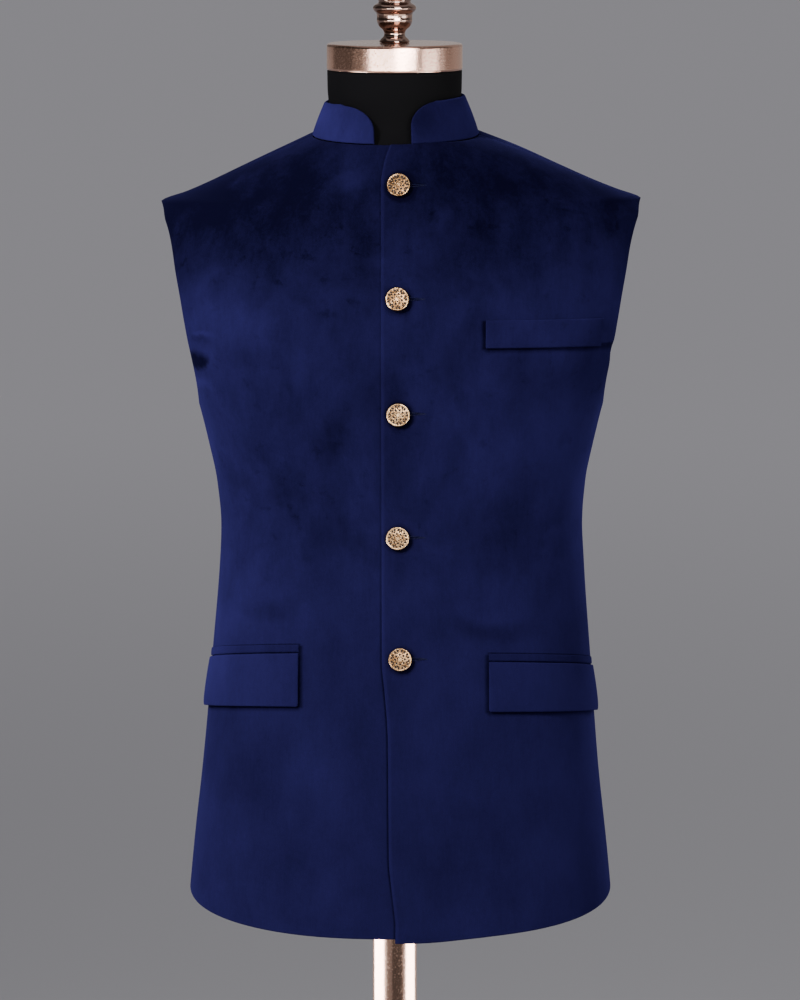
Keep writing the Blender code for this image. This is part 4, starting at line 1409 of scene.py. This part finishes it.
def button_rings():
    """Rings of one button at the origin that faces +Z, and how deep its pattern is at each point."""
    profile = np.array(BUTTON_PROFILE)
    domed = profile[:BUTTON_FACE_END + 1]
    radii = np.arange(BUTTON_FACE_STEP, domed[-1, 0], BUTTON_FACE_STEP)
    face = np.stack([radii, np.interp(radii, domed[:, 0], domed[:, 1])], axis=-1)
    rim = smooth_profile(profile[BUTTON_FACE_END:-1], BUTTON_RIM_STEP)
    rings = round_rings(np.concatenate([face, rim]), BUTTON_STEPS)
    depth = button_relief(rings[..., 0], rings[..., 1])
    depth[len(face):] = 0.0
    rings[..., 2] -= RECESS_DEPTH * depth
    return rings, depth


def surface_frame(x, height):
    """Where the left front's outer face is, its outward normal and the way to the wearer's left."""
    angle = angle_at_x(height, x)
    point, normal = cloth_points(np.array([height]), np.array([angle]))
    beside, _ = cloth_points(np.array([height]), np.array([angle_at_x(height, x + SIDE_STEP)]))
    lift = float(left_lift(np.array(x)))
    sideways = unit(beside[0] - point[0])
    return point[0] + lift * normal[0], normal[0], sideways


def make_buttons():
    brass = shared_material("antique_brass_cast", brass_material)
    rings, depth = button_rings()
    radii = np.hypot(rings[..., 0], rings[..., 1])
    polish = 1 - ramp(radii, *POLISHED_AND_HIGHLIGHT_MIDDLE) + ramp(radii, *POLISHED_AND_HIGHLIGHT_RIM)
    ends = np.array([(0.0, 0.0, BUTTON_PROFILE[0][1]), (0.0, 0.0, BUTTON_PROFILE[-1][1])])
    for number, place in enumerate(named_rows(BUTTON_SPOTS, SPOT_NAMES), start=1):
        spot, normal, sideways = surface_frame(place["x"], place["height"])
        upward = np.cross(normal, sideways)
        turn = math.radians(place["turn"])
        first = math.cos(turn) * np.cross(upward, normal) + math.sin(turn) * upward
        axes = np.stack([first, np.cross(normal, first), normal])
        # Tarnish mark: each button's tarnish with painted shade, less the rubbed and painted-highlight middle
        # and rim
        marks = {"recess": depth, "tarnish": place["tarnish"] - POLISH_AND_HIGHLIGHT * polish}
        button = ringed_piece(
            f"brass_button_{number}", rings @ axes + spot, *(ends @ axes + spot), brass, marks)
        finish_piece(button, [f"button_{number}"])


def hole_path(x, height):
    """A closed path round one buttonhole on the left front, with the outward direction at each point."""
    points = []
    outs = []
    for turn in np.linspace(0.0, 2 * math.pi, HOLE_POINTS, endpoint=False):
        share = 0.5 - 0.5 * math.cos(turn)
        along = HOLE_START + HOLE_LENGTH * share
        wide = HOLE_HALF_WIDTH * math.copysign(min(1.0, HOLE_BLUNT * (1 - share)), math.sin(turn))
        spot, normal, _ = surface_frame(x + along, height + wide)
        points.append(spot + HOLE_LIFT * normal)
        outs.append(normal)
    return points, outs


def make_buttonholes():
    """Purl stitches round the five buttonholes of the left front."""
    points, outs, edges = [], [], []
    for place in named_rows(BUTTON_SPOTS, SPOT_NAMES):
        first = len(points)
        ring, ring_outs = hole_path(place["x"], place["height"])
        points += ring
        outs += ring_outs
        edges += [(first + i, first + (i + 1) % len(ring)) for i in range(len(ring))]
    mesh = bpy.data.meshes.new("buttonhole_stitches")
    mesh.from_pydata([tuple(p) for p in points], edges, [])
    face_out = mesh.attributes.new("face_out", "FLOAT_VECTOR", "POINT")
    face_out.data.foreach_set("vector", np.array(outs).reshape(-1))
    piece = new_object("buttonhole_stitches", mesh)
    run_geometry(piece, stitch_tree(), {
        **STITCHES, "Spacing": bpy.context.scene.jacket_trim.stitch,
        "Material": shared_material("navy_thread", thread_material)})
    finish_piece(piece, [])


def make_form():
    """The covered torso: flat arm plates, smooth neck, closed at its top and bottom."""
    heights = np.linspace(FORM_LOW, FORM_HIGH, FORM_ROWS)[:, None]
    angles = np.linspace(0.0, 2 * math.pi, FORM_COLUMNS, endpoint=False)[None, :]
    level = np.broadcast_to(heights, (FORM_ROWS, FORM_COLUMNS))
    around = np.broadcast_to(angles, (FORM_ROWS, FORM_COLUMNS))
    gap = WALL + read_column(FORM_CLEARANCE, CLEAR_NAMES, "gap", level)[..., None]
    body = body_points(level, around) - gap * body_normals(level, around)
    share = (body[..., 2] - ARM_PLATE["low"]) / (ARM_PLATE["high"] - ARM_PLATE["low"])
    share = np.clip(share, 0.0, ARM_PLATE["end"])
    plate = ARM_PLATE["x_low"] + (ARM_PLATE["x_high"] - ARM_PLATE["x_low"]) * share
    body[..., 0] = np.clip(body[..., 0], -plate, plate)
    neck_heights = np.linspace(NECK_RINGS[0][0], NECK_RINGS[-1][0], NECK_ROWS)
    radii = read_column(NECK_RINGS, RING_NAMES, "radius", neck_heights)[:, None]
    neck = round_rings(np.concatenate([radii, neck_heights[:, None]], axis=1), FORM_COLUMNS, NECK_X)
    rings = np.concatenate([body, neck])[::-1]
    piece = ringed_piece("covered_torso", rings, (NECK_X, 0.0, NECK_RINGS[-1][0]), (0.0, 0.0, FORM_LOW),
                         shared_material("black_jersey_cover", jersey_material))
    finish_piece(piece, ["form_torso"])


def make_stand():
    finial = smooth_profile([(radius, FINIAL_LOW + height) for radius, height in FINIAL_PROFILE], FINIAL_STEP)
    pieces = (
        ("copper_neck_cap", "neck_cap", CAP_PROFILE, "rose_copper_plate"),
        ("copper_finial", "finial", finial, "rose_copper_dark"),
        ("copper_pole", "pole", POLE_PROFILE, "rose_copper_plate"),
        ("copper_base", "stand_base", BASE_PROFILE, "rose_copper_plate"),
    )
    for name, node, profile, metal in pieces:
        rings = round_rings(steadied(profile)[1:-1], TURN_STEPS, NECK_X)
        ends = [(NECK_X, 0.0, profile[0][1]), (NECK_X, 0.0, profile[-1][1])]
        finish_piece(ringed_piece(name, rings, *ends, copper(metal)), [node])


# Studio

def make_floor():
    corners = FLOOR_REACH * np.array([(-1, -1, 0), (1, -1, 0), (1, 1, 0), (-1, 1, 0)])
    floor = new_piece("floor", corners, [(0, 1, 2, 3)], floor_material(), smooth=False)
    floor.location.z = -FLOOR_DROP


def aim(place, target):
    """Turns of a light at one place that shines at another."""
    away = np.array(place) - np.array(target)
    return math.acos(away[2] / np.linalg.norm(away)), 0.0, math.atan2(away[0], -away[1])


def make_lights():
    for lamp in named_rows(SOFTBOXES, SOFTBOX_NAMES):
        light = bpy.data.lights.new(lamp["name"], "AREA")
        light.shape = "RECTANGLE"
        light.size = lamp["width"]
        light.size_y = lamp["tall"]
        light.energy = lamp["watts"]
        light.spread = math.radians(lamp["spread"])
        box = new_object(lamp["name"], light)
        box.location = lamp["place"]
        box.rotation_euler = aim(lamp["place"], lamp["target"])
        box.visible_camera = False
        box.visible_glossy = False


def make_cards():
    """Curved cards round the stand that only the metal reflects: some glow and some are dark."""
    for number, card in enumerate(named_rows(CARDS, CARD_NAMES), start=1):
        material, tree, shader, _ = new_material(f"card_{number}")
        tree.fill(shader, {
            "Base Color": (0.0, 0.0, 0.0, 1.0), "Specular IOR Level": 0.0,
            "Emission Color": opaque(card["colour"]), "Emission Strength": card["glow"]})
        turns = np.radians(np.linspace(card["from"], card["to"], CARD_POINTS))
        low, high = (np.stack([NECK_X + CARD_RADIUS * np.sin(turns), -CARD_RADIUS * np.cos(turns),
                               np.full(CARD_POINTS, card[edge])], axis=-1) for edge in ("low", "high"))
        faces = [(i, i + 1, CARD_POINTS + i + 1, CARD_POINTS + i) for i in range(CARD_POINTS - 1)]
        made = new_piece(f"card_{number}", np.concatenate([low, high]), faces, material, smooth=False)
        for kind in ("camera", "diffuse", "transmission", "volume_scatter", "shadow"):
            setattr(made, "visible_" + kind, False)


def make_world():
    world = bpy.data.worlds.new("studio_air")
    world.use_nodes = True
    back = world.node_tree.nodes["Background"]
    back.inputs["Color"].default_value = AIR_COLOUR
    back.inputs["Strength"].default_value = bpy.context.scene.jacket_studio.air
    world.cycles.sampling_method = "NONE"
    bpy.context.scene.world = world


def make_camera():
    sizes = bpy.context.scene.jacket_studio
    lens = bpy.data.cameras.new("camera")
    lens.lens = sizes.lens
    lens.sensor_width = SENSOR
    lens.clip_end = VIEW_END
    camera = new_object("camera", lens)
    camera.location = (0.0, -sizes.distance, sizes.height)
    camera.rotation_euler = (math.pi / 2 - sizes.pitch, 0.0, 0.0)
    bpy.context.scene.camera = camera


# Operators

class JACKET_OT_panels(bpy.types.Operator):
    """Build the two fronts and the back."""

    bl_idname = "jacket.panels"
    bl_label = "Fronts and back"

    def execute(self, context):
        make_right_front()
        make_left_front()
        make_back()
        return {"FINISHED"}


class JACKET_OT_collar(bpy.types.Operator):
    """Build the band collar."""

    bl_idname = "jacket.collar"
    bl_label = "Collar"

    def execute(self, context):
        make_collar()
        return {"FINISHED"}


class JACKET_OT_pockets(bpy.types.Operator):
    """Build the breast welt, and the flaps with their jets."""

    bl_idname = "jacket.pockets"
    bl_label = "Pockets"

    def execute(self, context):
        make_welt()
        for which in POCKETS:
            make_pocket(which)
        return {"FINISHED"}


class JACKET_OT_buttons(bpy.types.Operator):
    """Build the five cast buttons."""

    bl_idname = "jacket.buttons"
    bl_label = "Buttons"

    def execute(self, context):
        make_buttons()
        return {"FINISHED"}


class JACKET_OT_sewing(bpy.types.Operator):
    """Sew the buttonholes."""

    bl_idname = "jacket.sewing"
    bl_label = "Buttonholes"

    def execute(self, context):
        make_buttonholes()
        return {"FINISHED"}


class JACKET_OT_form(bpy.types.Operator):
    """Build the covered torso of the dress form."""

    bl_idname = "jacket.form"
    bl_label = "Dress form"

    def execute(self, context):
        make_form()
        return {"FINISHED"}


class JACKET_OT_stand(bpy.types.Operator):
    """Build the cap, the finial, the pole and the base."""

    bl_idname = "jacket.stand"
    bl_label = "Stand"

    def execute(self, context):
        make_stand()
        return {"FINISHED"}


class JACKET_OT_studio(bpy.types.Operator):
    """Set up the floor, the lights and the camera."""

    bl_idname = "jacket.studio"
    bl_label = "Studio"

    def execute(self, context):
        make_floor()
        make_lights()
        make_cards()
        make_world()
        make_camera()
        return {"FINISHED"}


OPERATORS = (JACKET_OT_panels, JACKET_OT_collar, JACKET_OT_pockets, JACKET_OT_buttons, JACKET_OT_sewing,
             JACKET_OT_form, JACKET_OT_stand, JACKET_OT_studio)


class JACKET_PT_build(bpy.types.Panel):
    """Lists the pieces of the jacket and their settings."""

    bl_idname = "JACKET_PT_build"
    bl_label = "Jacket on a dress form"
    bl_space_type = "VIEW_3D"
    bl_region_type = "UI"
    bl_category = "Jacket"

    def draw(self, context):
        for step in OPERATORS:
            self.layout.operator(step.bl_idname)
        for group in GROUPS:
            settings = getattr(context.scene, group)
            for name in settings.bl_rna.properties.keys():
                if name not in ("rna_type", "name"):
                    self.layout.prop(settings, name)


GROUPS = {"jacket_velvet": JACKET_PG_velvet, "jacket_trim": JACKET_PG_trim, "jacket_studio": JACKET_PG_studio}


def register():
    for name, group in GROUPS.items():
        bpy.utils.register_class(group)
        setattr(bpy.types.Scene, name, bpy.props.PointerProperty(type=group))
    for step in OPERATORS:
        bpy.utils.register_class(step)
    bpy.utils.register_class(JACKET_PT_build)


def unregister():
    bpy.utils.unregister_class(JACKET_PT_build)
    for step in reversed(OPERATORS):
        bpy.utils.unregister_class(step)
    for name, group in GROUPS.items():
        delattr(bpy.types.Scene, name)
        bpy.utils.unregister_class(group)


def main():
    register()
    bpy.ops.jacket.panels()
    bpy.ops.jacket.collar()
    bpy.ops.jacket.pockets()
    bpy.ops.jacket.buttons()
    bpy.ops.jacket.sewing()
    bpy.ops.jacket.form()
    bpy.ops.jacket.stand()
    bpy.ops.jacket.studio()


if __name__ == "__main__":
    main()
